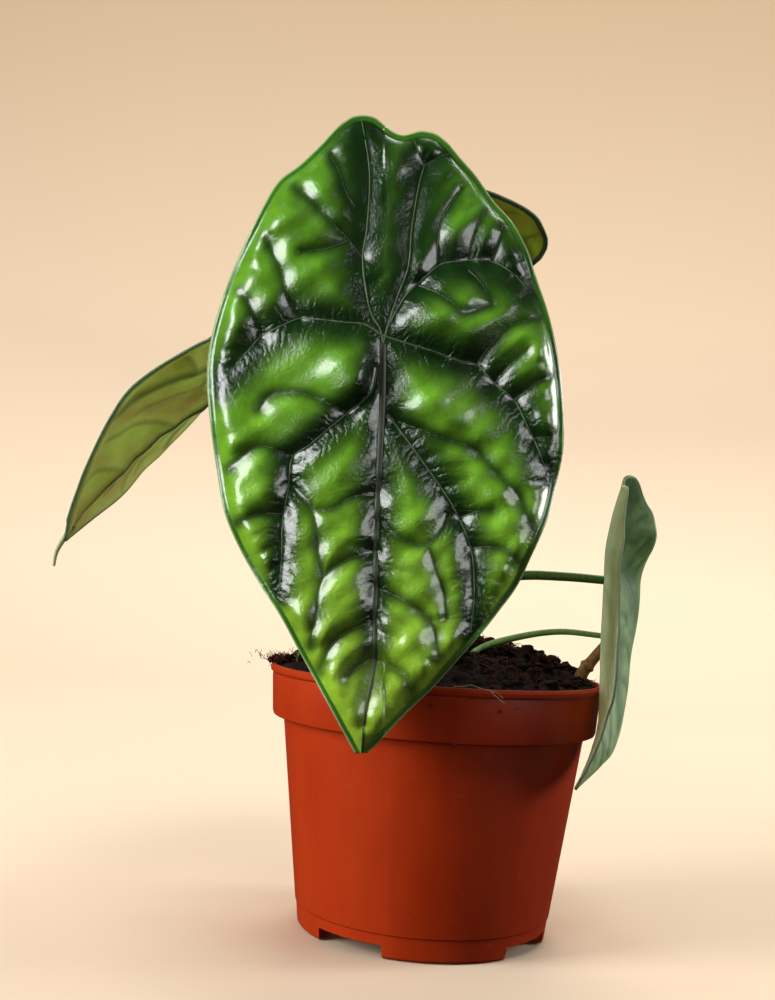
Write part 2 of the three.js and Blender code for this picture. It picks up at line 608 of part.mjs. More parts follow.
function piece(name, geometry, finish) {
  const mesh = new THREE.Mesh(geometry, new THREE.MeshStandardMaterial({ ...finish, metalness: 0 }));
  mesh.name = name;
  return mesh;
}

const plant = new THREE.Group();
plant.add(piece("pot", potGeometry(), FINISHES.pot));
plant.add(piece("potting_mix", mixGeometry(), FINISHES.mix));
plant.add(piece("crown", crownGeometry(), FINISHES.crown));
for (const [name, stem] of Object.entries(STEMS)) {
  const geometry = stem.carries ? petioleGeometry(stem, BLADES[stem.carries]) : stemGeometry(stem);
  plant.add(piece(name, geometry, stem.finish));
}
plant.add(piece("front_blade", bladeGeometry(BLADES.front), FINISHES.frontBlade));
plant.add(piece("rear_blade", rearBladeGeometry(), FINISHES.rearBlade));
plant.add(piece("right_blade", bladeGeometry(BLADES.right), FINISHES.rightBlade));

export default plant;
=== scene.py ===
"""A potted alocasia sinuata, dressed for the studio.

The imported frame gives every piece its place. Here each plain solid gets its finer piece: blades with
quilted faces and raised veins, ringed petioles, crumbly mix with fibres and moss, and a moulded pot.
Sizes are in millimetres, in the frame's own axes, and turn to metres as each mesh is made.
"""

import logging
import math
import random
from dataclasses import dataclass
from enum import Enum
from typing import Any, Sequence

import bmesh
import bpy
import numpy as np
from mathutils import Matrix, Vector, noise


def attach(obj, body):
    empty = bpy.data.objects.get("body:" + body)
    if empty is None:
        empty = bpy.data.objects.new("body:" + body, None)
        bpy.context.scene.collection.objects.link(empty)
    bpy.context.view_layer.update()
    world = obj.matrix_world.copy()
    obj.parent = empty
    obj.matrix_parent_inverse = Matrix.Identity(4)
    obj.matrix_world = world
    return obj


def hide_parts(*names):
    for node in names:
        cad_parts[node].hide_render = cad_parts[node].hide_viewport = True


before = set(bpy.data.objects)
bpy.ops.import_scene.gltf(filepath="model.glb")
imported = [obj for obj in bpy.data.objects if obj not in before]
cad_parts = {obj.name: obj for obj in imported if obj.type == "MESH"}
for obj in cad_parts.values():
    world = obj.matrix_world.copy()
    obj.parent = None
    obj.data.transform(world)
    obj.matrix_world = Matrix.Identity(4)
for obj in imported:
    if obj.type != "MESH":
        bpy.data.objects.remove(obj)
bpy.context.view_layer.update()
log = logging.getLogger("alocasia")

MM = 0.001
BODY = "root"
Points = Sequence[Sequence[float]]
Spots = Sequence[tuple[float, float, float, float]]
Strands = list[tuple[np.ndarray, np.ndarray]]
Socket = bpy.types.NodeSocket
Material = bpy.types.Material


class VeinRank(Enum):
    """How strong a vein is: its radius at its start and end in millimetres, and its sink in radii."""

    MIDRIB = (0.95, 0.25, 0.55)
    RIB = (0.19, 0.09, 0.1)
    BRANCH = (0.11, 0.06, 0.1)


def linear(colour: str) -> tuple[float, float, float, float]:
    """Turns an sRGB hex colour to a linear one.

    Args:
        colour: Six hex digits after a hash sign.

    Returns:
        Red, green, blue and alpha, with the alpha at 1.
    """
    channels = [int(colour[i : i + 2], 16) / 255 for i in (1, 3, 5)]
    return (*(c / 12.92 if c <= 0.04045 else ((c + 0.055) / 1.055) ** 2.4 for c in channels), 1.0)


def smoothstep(value: np.ndarray, low: float, high: float) -> np.ndarray:
    """Rises smoothly from 0 at low to 1 at high."""
    share = np.clip((value - low) / (high - low), 0, 1)
    return share * share * (3 - 2 * share)


def swell(distance: np.ndarray, reach: float, fullness: float = 2.0) -> np.ndarray:
    """Rises as the flank of a pillow, from 0 at no distance to 1 at its reach."""
    return 1 - (1 - np.clip(distance / reach, 0, 1)) ** fullness


def between(p: np.ndarray, q: np.ndarray, low: float, high: float, t: np.ndarray) -> np.ndarray:
    """Blends from p at low to q at high, at each t."""
    return (high - t) / (high - low) * p + (t - low) / (high - low) * q


class Line:
    """A smooth line through points, read by its length, as the CAD source reads it."""

    SAMPLES = 40

    def __init__(self, points: Points) -> None:
        """Samples a centripetal Catmull-Rom spline.

        Args:
            points: Two or three numbers a point, in millimetres.
        """
        knots = np.asarray(points, float)
        knots = np.vstack([2 * knots[0] - knots[1], knots, 2 * knots[-1] - knots[-2]])
        spans = [self._span(*knots[i : i + 4]) for i in range(len(knots) - 3)]
        self.samples = np.vstack(spans + [knots[-2:-1]])
        steps = np.linalg.norm(np.diff(self.samples, axis=0), axis=1)
        lengths = np.concatenate([[0], np.cumsum(steps)])
        self.length = float(lengths[-1])
        self.shares = lengths / lengths[-1]

    def _span(self, a: np.ndarray, b: np.ndarray, c: np.ndarray, d: np.ndarray) -> np.ndarray:
        """Samples the stretch from b to c, leaving out c itself.

        Args:
            a: The knot before b.
            b: The stretch's start.
            c: Its end.
            d: The knot after c.

        Returns:
            One row for each sample.
        """
        times = np.cumsum([0] + [np.linalg.norm(q - p) ** 0.5 for p, q in ((a, b), (b, c), (c, d))])
        t = np.linspace(times[1], times[2], self.SAMPLES, endpoint=False)[:, None]
        ab = between(a, b, times[0], times[1], t)
        bc = between(b, c, times[1], times[2], t)
        cd = between(c, d, times[2], times[3], t)
        abc = between(ab, bc, times[0], times[2], t)
        bcd = between(bc, cd, times[1], times[3], t)
        return between(abc, bcd, times[1], times[2], t)

    def at(self, share: np.ndarray) -> np.ndarray:
        """Gives the points at these shares of the length."""
        return np.stack([np.interp(share, self.shares, axis) for axis in self.samples.T], axis=-1)

    def tangent(self, share: np.ndarray) -> np.ndarray:
        """Gives the line's direction.

        Args:
            share: Shares of the length.

        Returns:
            One unit vector for each share.
        """
        step = 0.002
        way = self.at(np.clip(share + step, 0, 1)) - self.at(np.clip(share - step, 0, 1))
        return way / np.linalg.norm(way, axis=-1, keepdims=True)


def nearest_on(lines: Sequence[Line], places: np.ndarray) -> tuple[np.ndarray, np.ndarray]:
    """Measures how far places lie from the nearest of several flat lines, and how far along it.

    Args:
        lines: Lines in the drawing's plane.
        places: One row of x and y for each place.

    Returns:
        The distances from the lines and the lengths along them, in millimetres.
    """
    distance = np.full(len(places), np.inf)
    along = np.zeros(len(places))
    for line in lines:
        knots = line.at(np.linspace(0, 1, max(3, int(line.length / 1.2) + 1)))
        passed = 0.0
        for start, way in zip(knots, np.diff(knots, axis=0)):
            length = float(np.hypot(*way)) + 1e-9
            gap = places - start
            share = np.clip(gap @ way / length**2, 0, 1)
            here = np.hypot(*(gap - share[:, None] * way).T)
            closer = here < distance
            distance = np.where(closer, here, distance)
            along = np.where(closer, passed + share * length, along)
            passed += length
    return distance, along


@dataclass(frozen=True)
class BladeDrawing:
    """The flat drawing that all three blades share, at the big blade's true size.

    Its origin is where the petiole joins, +x to the blade's right and +y towards its lobes.
    """

    left_margin: Points = (
        (-5.5, -79.0), (-8.3, -73.9), (-12.5, -66.2), (-16.2, -59.4), (-19.7, -52.9), (-23.6, -46.8),
        (-27.5, -39.9), (-30.2, -33.4), (-31.5, -26.2), (-32.8, -17.2), (-33.5, -7.1), (-32.6, 0),
        (-30.0, 8.8), (-26.7, 16.8), (-23.3, 23.7), (-19.8, 29.4), (-16.0, 32.3), (-12.2, 35.9),
        (-8.4, 39.9), (-6.0, 41.5),
    )  # fmt: skip
    right_margin: Points = (
        (-3.1, -78.9), (-1.5, -77.5), (1.0, -74.8), (5.0, -70.7), (9.0, -66.9), (14.4, -60.9),
        (18.7, -56.0), (22.0, -51.8), (25.2, -47.4), (27.6, -42.4), (30.8, -35.1), (32.5, -28.5),
        (33.9, -21.9), (34.0, -14.9), (33.2, -5.5), (31.3, 3.7), (29.0, 10.6), (27.1, 16.4),
        (24.1, 21.8), (21.0, 25.2), (17.4, 30.3), (14.5, 33.6), (12.4, 36.2),
    )  # fmt: skip
    top_edge: Points = (
        (-6.0, 41.5), (-4.0, 41.8), (-1.7, 41.3), (0.2, 39.8), (2.0, 38.5), (3.6, 38.0),
        (5.3, 38.4), (6.9, 38.8), (8.5, 38.6), (9.9, 38.2), (11.3, 37.2), (12.4, 36.2),
    )  # fmt: skip
    midrib: Points = (
        (-0.2, -1.7), (-0.3, -12.2), (-0.9, -25.6), (-1.3, -33.8), (-1.6, -48.3), (-2.0, -63.4),
        (-3.4, -70.7), (-4.2, -78.7),
    )  # fmt: skip
    ribs: Sequence[Points] = (
        ((-0.2, -1.7), (-0.6, 1.1), (-2.3, 4.0), (-3.4, 8.8), (-4.0, 14.5), (-3.2, 20.4),
         (-2.7, 30.8), (-4.2, 40.9)),
        ((-0.2, -1.7), (0.8, 2.1), (2.7, 7.8), (4.6, 13.0), (5.3, 20.6), (6.7, 28.8), (7.6, 32.1)),
        ((-0.2, 0), (-3.6, 2.1), (-7.4, 2.5), (-16, 3.2), (-19.3, 1.9), (-23.3, -0.2),
         (-25.6, -2.7), (-29, -6.9), (-31.1, -9.0)),
        ((-0.2, 0), (5.3, -1.7), (9.9, -3.1), (14.5, -4.8), (17.6, -5.5), (21, -9.1),
         (24.6, -12.2), (27.1, -17), (29.4, -21.9), (30.9, -26.4)),
        ((0.8, 1.9), (2.5, 4.9), (4.3, 7.9), (7.6, 10.9), (10.6, 13.4), (15.5, 14.2),
         (20.2, 14.1), (24.1, 12), (27.3, 8.8)),
        ((-1.3, -6.1), (-2.3, -10.5), (-4.0, -12.4), (-7.0, -14.7), (-10.9, -18.0),
         (-14.4, -20.9), (-17.2, -22.9), (-18, -28.1), (-19.2, -36.1), (-19.3, -40.9),
         (-19.8, -48.7)),
        ((0.7, -14.9), (5.3, -21), (10.9, -28.9), (13.4, -32.9), (16.4, -40.1), (17.1, -46.6),
         (16.9, -52), (16.4, -56)),
    )  # fmt: skip
    branches: Sequence[Points] = (
        ((-4.2, 14.9), (-6.5, 18.0), (-10.3, 22.0), (-14.1, 25.8), (-16.8, 28.0)),
        ((-6.7, 18.0), (-11.3, 16.4), (-15.5, 16.0)),
        ((-5.5, 24.4), (-7.3, 27.5), (-8.4, 30.8), (-10.1, 34.2)),
        ((-16, 3.2), (-18.3, 7.3), (-19.3, 11.7), (-22.2, 18.3)),
        ((-23.3, -0.2), (-25.6, 6.3), (-27.1, 8.2)),
        ((-7.1, -14.5), (-10.5, -12.8), (-15.9, -10.8), (-21.9, -11.4), (-23.7, -14.1)),
        ((-17.2, -22.7), (-23.7, -20.9), (-29.2, -25)),
        ((-19.2, -33.6), (-24.3, -33.8), (-27.9, -35.5)),
        ((-17, -28.8), (-13.6, -32.9), (-12.2, -42), (-11.4, -45.6)),
        ((-1.6, -29.8), (-6.3, -30.6), (-9.7, -32.7), (-13.3, -33.0)),
        ((-1.6, -40.9), (-6.7, -42.3), (-11.4, -45.8), (-12.8, -52), (-13.9, -58.8)),
        ((-2.5, -54.2), (-6.5, -55.8), (-9.2, -57.6), (-12.2, -63.4)),
        ((-2.7, -61.3), (-5, -62.9), (-6.9, -65)),
        ((-1.3, -61.3), (1.3, -62.5), (4, -64.4), (5.3, -68.6)),
        ((-0.8, -47.8), (2.7, -49.5), (7.8, -52.9), (9.4, -55.5), (10.2, -60.5)),
        ((-0.4, -35.4), (2.2, -37.8), (8, -39.6), (10.9, -36.7), (11.8, -33.8)),
        ((8.5, -40.1), (9.5, -43.2), (11.5, -49.7), (11.8, -53.1)),
        ((14.5, -34.4), (17.4, -33.3), (20.4, -32.9)),
        ((16.8, -40.1), (19.7, -39.9), (22.9, -40.5), (25.5, -42.9)),
        ((2.7, -16.2), (11.1, -19.3), (17.4, -21.6), (20.4, -24.8), (25.8, -31), (28.1, -37.1)),
        ((17.6, -5.3), (20.8, -1.1), (24.6, 2.1), (29.4, 3.4)),
        ((21, -9), (23.9, -5.5), (27.1, -2.8)),
        ((24.6, -12.2), (28.3, -9.4), (31.7, -7.4)),
        ((28.5, -19.3), (32.9, -19.1)),
        ((6.4, 9.6), (9.9, 8.2), (12.4, 6.7), (15.5, 4.4), (20.4, 5.8)),
        ((16, 12.4), (18.5, 9.9), (20.2, 6.7)),
        ((20.4, 14.5), (21.6, 17.2), (22.5, 21)),
        ((10.1, 14.1), (10.3, 18.3), (11.1, 22.2), (14.5, 27.6)),
        ((16, 14.1), (17.1, 19.5), (19.2, 23.7)),
        ((7.6, 32.1), (6.4, 35.0), (5.7, 37.1)),
        ((7.6, 32.1), (10.7, 34.0), (13.6, 34.6)),
    )  # fmt: skip
    creases: Sequence[Points] = (
        ((-0.6, -27.5), (2.9, -29.6), (4.4, -30.4)),
        ((-0.6, -44.1), (3.8, -44.7)),
        ((-2.3, -40.3), (-6.3, -39.5)),
        ((26, -14.6), (28.3, -14.6)),
        ((17.2, -50), (18.5, -50.3)),
        ((-1.3, -55.8), (1, -56.5), (3.1, -57.5)),
        ((9.4, -53.7), (11.7, -53.9)),
        ((11.3, -28.8), (13.2, -28), (16, -27.1)),
        ((-3.1, 9.9), (-1.6, 10.3), (0, 11.5)),
    )  # fmt: skip
    mounds: Spots = (
        (-4.6, -7.2, 7.0, 3.2), (12.0, 3.8, 8.5, 2.4), (-17.0, 22.0, 4.0, 0.8), (-11.5, 26.5, 3.5, 0.6),
        (-11.0, -21.5, 5.0, 0.5), (-23.5, -27.5, 4.0, 0.4), (10.0, -14.0, 7.0, 2.0), (22.0, -30.0, 4.5, 0.5),
        (6.5, -34.0, 4.0, 0.45), (-6.0, -37.0, 3.6, 0.4), (-6.5, -49.5, 3.6, 0.4), (5.5, -58.0, 3.4, 0.4),
    )  # fmt: skip
    calms: Spots = (
        (-23.0, -9.5, 10.0, 0.9), (-0.4, 12.5, 7.0, 0.75),
    )  # fmt: skip
    top: float = 41.8
    tip: float = -79.2

    def lines(self) -> dict[str, list[Line]]:
        """Makes the smooth lines of the margin, the veins and the creases.

        Returns:
            The lines under margin, midrib, ribs, branches and creases.
        """
        return {
            "margin": [Line(self.left_margin), Line(self.right_margin), Line(self.top_edge)],
            "midrib": [Line(self.midrib)],
            "ribs": [Line(points) for points in self.ribs],
            "branches": [Line(points) for points in self.branches],
            "creases": [Line(points) for points in self.creases],
        }

    def spread(self, across: np.ndarray, along: np.ndarray) -> np.ndarray:
        """Spreads a unit square over the blade: across from its left margin, along from its tip.

        Args:
            across: Shares from 0 at the left margin to 1 at the right.
            along: Shares from 0 at the tip to 1 at the top edge.

        Returns:
            One row of x and y for each pair of shares.
        """
        left, right, top = (Line(p) for p in (self.left_margin, self.right_margin, self.top_edge))
        s = across[:, None]
        t = along[:, None]
        tip = (1 - s) * left.samples[0] + s * right.samples[0]
        corners = (1 - t) * tip + t * ((1 - s) * left.samples[-1] + s * right.samples[-1])
        sides = (1 - s) * left.at(along) + s * right.at(along)
        ends = (1 - t) * tip + t * top.at(across)
        return sides + ends - corners


@dataclass(frozen=True)
class Quilting:
    """The relief of a blade's upper face, in millimetres."""

    rib_rise: float = 1.8
    rib_reach: float = 8.5
    branch_rise: float = 1.15
    branch_reach: float = 4.2
    crease_rise: float = 0.4
    crease_reach: float = 1.8
    comb_rise: float = 0.22
    comb_spacing: float = 3.4
    scallop_rise: float = 0.45
    scallop_spacing: float = 5.2
    net_rise: float = 0.05
    net_cell: float = 4.2
    floor: float = 0.4
    band: float = 1.0
    band_rise: float = 0.12
    margin_reach: float = 4.2
    wave: float = 0.7
    drawing: BladeDrawing = BladeDrawing()

    def height(self, places: np.ndarray, gaps: dict[str, np.ndarray]) -> np.ndarray:
        """Works out the height of the face over the blade's plain surface.

        Args:
            places: One row of x and y for each place.
            gaps: The distances to the margin, ribs, branches and creases.

        Returns:
            The heights, in millimetres.
        """
        x, y = places.T
        margin = gaps["margin"]
        ribs = gaps["ribs"]
        lumps = 1 + 0.16 * np.sin(0.43 * x + 1.1) * np.cos(0.36 * y + 0.4) + 0.1 * np.sin(0.9 * y - 0.7 * x)
        quilt = self.rib_rise * lumps * swell(ribs - self.floor, self.rib_reach)
        pucker = self.branch_rise * swell(gaps["branches"] - 0.1, self.branch_reach)
        crease = self.crease_rise * swell(gaps["creases"], self.crease_reach)
        along = gaps["along"]
        turn = math.tau * (along - 0.45 * ribs) / self.comb_spacing + 0.9 * np.sin(0.5 * along)
        comb = self.comb_rise * np.abs(np.sin(turn / 2)) * np.exp(-(((ribs - 2.8) / 2.2) ** 2))
        comb = comb * (0.55 + 0.45 * np.sin(0.19 * x + 0.31 * y)) * smoothstep(-y, 15, 24)
        way_round = gaps["round"]
        scalloped = np.abs(np.sin(math.pi * way_round / self.scallop_spacing + np.sin(0.3 * way_round)))
        scallop = self.scallop_rise * (scalloped - 0.6) * np.exp(-(((margin - 3.4) / 1.9) ** 2))
        mounds = self._spots(self.drawing.mounds, x, y, one_sided=True) * swell(ribs - 0.3, 3.0)
        quilt = quilt * (1 - self._spots(self.drawing.calms, x, y))
        net = self.net_rise * self._net(places) + scallop + mounds
        inside = swell(margin - self.band, self.margin_reach, 3)
        band = self.band_rise * np.sin(np.pi * np.clip(margin / self.band, 0, 1))
        wave = self.wave * np.sin(0.33 * y + np.where(x > 0, 1.7, 0)) * np.exp(-margin / 6)
        return inside * (quilt + pucker + crease + comb + net) + band + wave

    def _spots(self, spots: Spots, x: np.ndarray, y: np.ndarray, one_sided: bool = False) -> np.ndarray:
        """Adds up soft spots.

        Args:
            spots: The middle's x and y, the reach and the strength of each spot.
            x: How far each place lies to the right.
            y: How far each place lies up.
            one_sided: Whether each spot stays on its own side of the midrib.

        Returns:
            The strength at each place.
        """
        total = np.zeros(len(x))
        for middle_x, middle_y, reach, strength in spots:
            side = smoothstep(x * np.sign(middle_x), -0.5, 4) if one_sided else 1
            total += strength * side * np.exp(-((np.hypot(x - middle_x, y - middle_y) / reach) ** 2) * 1.5)
        return total

    def _net(self, places: np.ndarray) -> np.ndarray:
        """Gives the small swells between the finest veins.

        Args:
            places: One row of x and y for each place.

        Returns:
            Shares from 0 on a vein to 1 on a swell.
        """
        swells = []
        for x, y in places:
            near, next_near = noise.voronoi(Vector((x, y, 0)) / self.net_cell)[0][:2]
            swells.append(next_near - near)
        return swell(np.array(swells), 0.7)


@dataclass(frozen=True)
class FrontPose:
    """How the big blade hangs: square to the line of sight that it was measured from."""

    eye: tuple[float, float, float] = (0, -264.2, 74.3)
    aim: tuple[float, float, float] = (-13.2, 0, 90.9)
    head_tilt: float = math.radians(3.9)
    junction: tuple[float, float, float] = (-14, -40, 119.4)
    lean: float = 0.1
    top_bend: float = 0.0027
    left_camber: float = 0.0035
    right_camber: float = -0.001
    mirrored: bool = False

    def axes(self) -> tuple[Vector, Vector, Vector]:
        """Turns the line of sight and its tilt to axes.

        Returns:
            The view's right, up and forward directions.
        """
        forward = (Vector(self.aim) - Vector(self.eye)).normalized()
        level = forward.cross(Vector((0, 0, 1))).normalized()
        upright = level.cross(forward)
        cosine = math.cos(self.head_tilt)
        sine = math.sin(self.head_tilt)
        return level * cosine + upright * sine, upright * cosine - level * sine, forward

    def place(self, places: np.ndarray, height: np.ndarray, margin: np.ndarray) -> np.ndarray:
        """Puts the drawing's places in the frame.

        Args:
            places: One row of x and y for each place.
            height: The relief at each place.
            margin: The distance of each place from the margin, which this pose doesn't need.

        Returns:
            One row of x, y and z for each place, in millimetres.
        """
        x, y = places.T
        right, up, forward = (np.array(axis) for axis in self.axes())
        eye = np.array(self.eye)
        depth = (np.array(self.junction) - eye) @ forward
        camber = np.where(x < 0, self.left_camber, self.right_camber)
        bend = self.lean * y + self.top_bend * np.maximum(y, 0) ** 2 + camber * x * x
        flat = np.array(self.junction) + np.outer(x, right) + np.outer(y, up)
        return eye + (flat - eye) * ((depth + bend - height) / depth)[:, None]


@dataclass(frozen=True)
class ArchedPose:
    """How a side blade lies along its bent midrib, each half rising from it by its own degrees."""

    midrib: Points
    face: tuple[float, float, float]
    left_rises: Sequence[float]
    right_rises: Sequence[float]
    size: float
    curl: float
    relief: float
    fold_rounding: float = 2.0
    curl_width: float = 9.0
    mirrored: bool = False
    stations: Sequence[float] = (0.0, 0.15, 0.35, 0.6, 0.8, 1.0)

    def _rise(self, rises: Sequence[float], along: np.ndarray) -> np.ndarray:
        """Eases a half's rise from station to station.

        Args:
            rises: Its degrees at the stations, from lobes to tip.
            along: Shares of the way from lobes to tip.

        Returns:
            The rise at each share, in radians.
        """
        degrees = np.full(len(along), float(rises[0]))
        for i, (low, high) in enumerate(zip(self.stations, self.stations[1:])):
            degrees += (rises[i + 1] - rises[i]) * smoothstep(along, low, high)
        return np.radians(degrees)

    def place(self, places: np.ndarray, height: np.ndarray, margin: np.ndarray) -> np.ndarray:
        """Puts the drawing's places in the frame.

        Args:
            places: One row of x and y for each place.
            height: The relief at each place.
            margin: The distance of each place from the margin.

        Returns:
            One row of x, y and z for each place, in millimetres.
        """
        drawing = BladeDrawing()
        x, y = places.T
        along = np.clip((drawing.top - y) / (drawing.top - drawing.tip), 0, 1)
        line = Line(self.midrib)
        tangent = line.tangent(along)
        face = np.array(self.face, float)
        normal = face - (tangent @ face)[:, None] * tangent
        normal /= np.linalg.norm(normal, axis=1, keepdims=True)
        side = np.cross(normal, tangent)
        wander = np.where(y < 0, -4.2 * (y / drawing.tip) ** 2, 0)
        across = (x - wander) * (-self.size if self.mirrored else self.size)
        rise = np.where(across < 0, self._rise(self.left_rises, along), self._rise(self.right_rises, along))
        lift = (np.hypot(across, self.fold_rounding) - self.fold_rounding) * np.sin(rise)
        drop = self.curl * smoothstep(y, -48, -12) * np.clip(1 - margin / self.curl_width, 0, 1) ** 2
        out = side * (across * np.cos(rise))[:, None] + normal * (lift - drop + height * self.relief)[:, None]
        return line.at(along) + out


class Recipe:
    """A node material being made, with its surface shader ready to be fed."""

    def __init__(self, name: str) -> None:
        """Makes an empty material with one Principled surface.

        Args:
            name: The real material's name and how its surface was made.
        """
        self.material = bpy.data.materials.new(name)
        self.material.use_nodes = True
        self.tree = self.material.node_tree
        self.tree.nodes.clear()
        self.surface = self.add("ShaderNodeBsdfPrincipled")
        self.output = self.add("ShaderNodeOutputMaterial", inputs={"Surface": self.surface.outputs["BSDF"]})

    def add(
        self,
        kind: str,
        settings: dict[str, Any] | None = None,
        inputs: dict[str | int, Any] | None = None,
        stops: Sequence[tuple[float, str]] = (),
    ) -> bpy.types.Node:
        """Adds a node with its settings and links.

        Args:
            kind: The node's type name.
            settings: Attributes of the node.
            inputs: A value or an output socket for each named or numbered input.
            stops: Place and colour of each stop, for a colour ramp.

        Returns:
            The new node.
        """
        node = self.tree.nodes.new(kind)
        for name, value in (settings or {}).items():
            setattr(node, name, value)
        for name, value in (inputs or {}).items():
            self.feed(node.inputs[name], value)
        for i, (place, colour) in enumerate(stops):
            elements = node.color_ramp.elements
            stop = elements[i] if i < 2 else elements.new(place)
            stop.position = place
            stop.color = linear(colour)
        return node

    def feed(self, socket: Socket, value: Any) -> None:
        """Sets a socket, or links an output socket to it.

        Args:
            socket: The input to set.
            value: A number, a tuple, a hex colour or an output socket.
        """
        if isinstance(value, Socket):
            self.tree.links.new(value, socket)
        else:
            socket.default_value = linear(value) if isinstance(value, str) else value

    def finish(self, **sockets: Any) -> Material:
        """Feeds the surface shader, with an underscore for each space of a socket's name.

        Args:
            sockets: A value or an output socket for each of the shader's inputs.

        Returns:
            The finished material.
        """
        for name, value in sockets.items():
            self.feed(self.surface.inputs[name.replace("_", " ")], value)
        return self.material

    def attribute(self, name: str, output: str = "Fac") -> Socket:
        """Reads one of the mesh's own attributes."""
        return self.add("ShaderNodeAttribute", {"attribute_name": name}).outputs[output]

    def place(self) -> Socket:
        """Reads the place on the object, in metres."""
        return self.add("ShaderNodeTexCoord").outputs["Object"]

    def stretch(self, width: float, length: float) -> Socket:
        """Reads the place in units of a pattern's width and of its length upwards, both in millimetres."""
        inputs = {"Vector": self.place(), "Scale": (1 / (width * MM), 1 / (width * MM), 1 / (length * MM))}
        return self.add("ShaderNodeMapping", inputs=inputs).outputs["Vector"]

    def sum(self, operation: str, *values: float | Socket) -> Socket:
        """Works out one step of arithmetic."""
        return self.add("ShaderNodeMath", {"operation": operation}, dict(enumerate(values))).outputs[0]

    def span(
        self,
        value: Socket,
        start: float,
        end: float,
        low: float = 0.0,
        high: float = 1.0,
        smooth: bool = False,
    ) -> Socket:
        """Turns a value between start and end into one between low and high, and clamps it.

        Args:
            value: The value to turn.
            start: The value that gives low.
            end: The value that gives high.
            low: The result at the start.
            high: The result at the end.
            smooth: Whether it eases in and out.

        Returns:
            The result.
        """
        settings = {"interpolation_type": "SMOOTHSTEP"} if smooth else {}
        ends = {"Value": value, "From Min": start, "From Max": end, "To Min": low, "To Max": high}
        return self.add("ShaderNodeMapRange", settings, ends).outputs["Result"]

    def clouds(
        self,
        vector: Socket,
        scale: float,
        detail: float = 2.0,
        roughness: float = 0.5,
        distortion: float = 0.0,
        kind: str = "FBM",
    ) -> Socket:
        """Makes a noise pattern.

        Args:
            vector: The place to read.
            scale: Swells for each unit of that place.
            detail: How many finer layers it has.
            roughness: How strong the finer layers are.
            distortion: How far the pattern is bent.
            kind: The sort of noise.

        Returns:
            The pattern's strength.
        """
        inputs = {"Vector": vector, "Scale": scale, "Detail": detail, "Roughness": roughness}
        inputs["Distortion"] = distortion
        return self.add("ShaderNodeTexNoise", {"noise_type": kind}, inputs).outputs["Fac"]

    def mix(
        self,
        share: float | Socket,
        under: str | Socket,
        over: str | Socket,
        blend: str = "MIX",
    ) -> Socket:
        """Lays one colour over another.

        Args:
            share: How much of it shows.
            under: The lower colour.
            over: The upper colour.
            blend: How the two are blended.

        Returns:
            The blended colour.
        """
        settings = {"data_type": "RGBA", "blend_type": blend}
        return self.add("ShaderNodeMix", settings, {0: share, 6: under, 7: over}).outputs[2]

    def colours(self, value: Socket, *stops: tuple[float, str]) -> Socket:
        """Turns a value from 0 to 1 to a colour, with its two ends given first."""
        return self.add("ShaderNodeValToRGB", inputs={"Fac": value}, stops=stops).outputs["Color"]

    def bump(self, height: Socket, depth: float, strength: float, normal: Socket | None = None) -> Socket:
        """Tilts the surface by a fine relief.

        Args:
            height: The relief, from 0 to 1.
            depth: Its depth in millimetres.
            strength: How much of it shows.
            normal: The coarser relief under it, if any.

        Returns:
            The tilted normal.
        """
        inputs = {"Strength": strength, "Distance": depth * MM, "Height": height}
        if normal is not None:
            inputs["Normal"] = normal
        return self.add("ShaderNodeBump", inputs=inputs).outputs["Normal"]


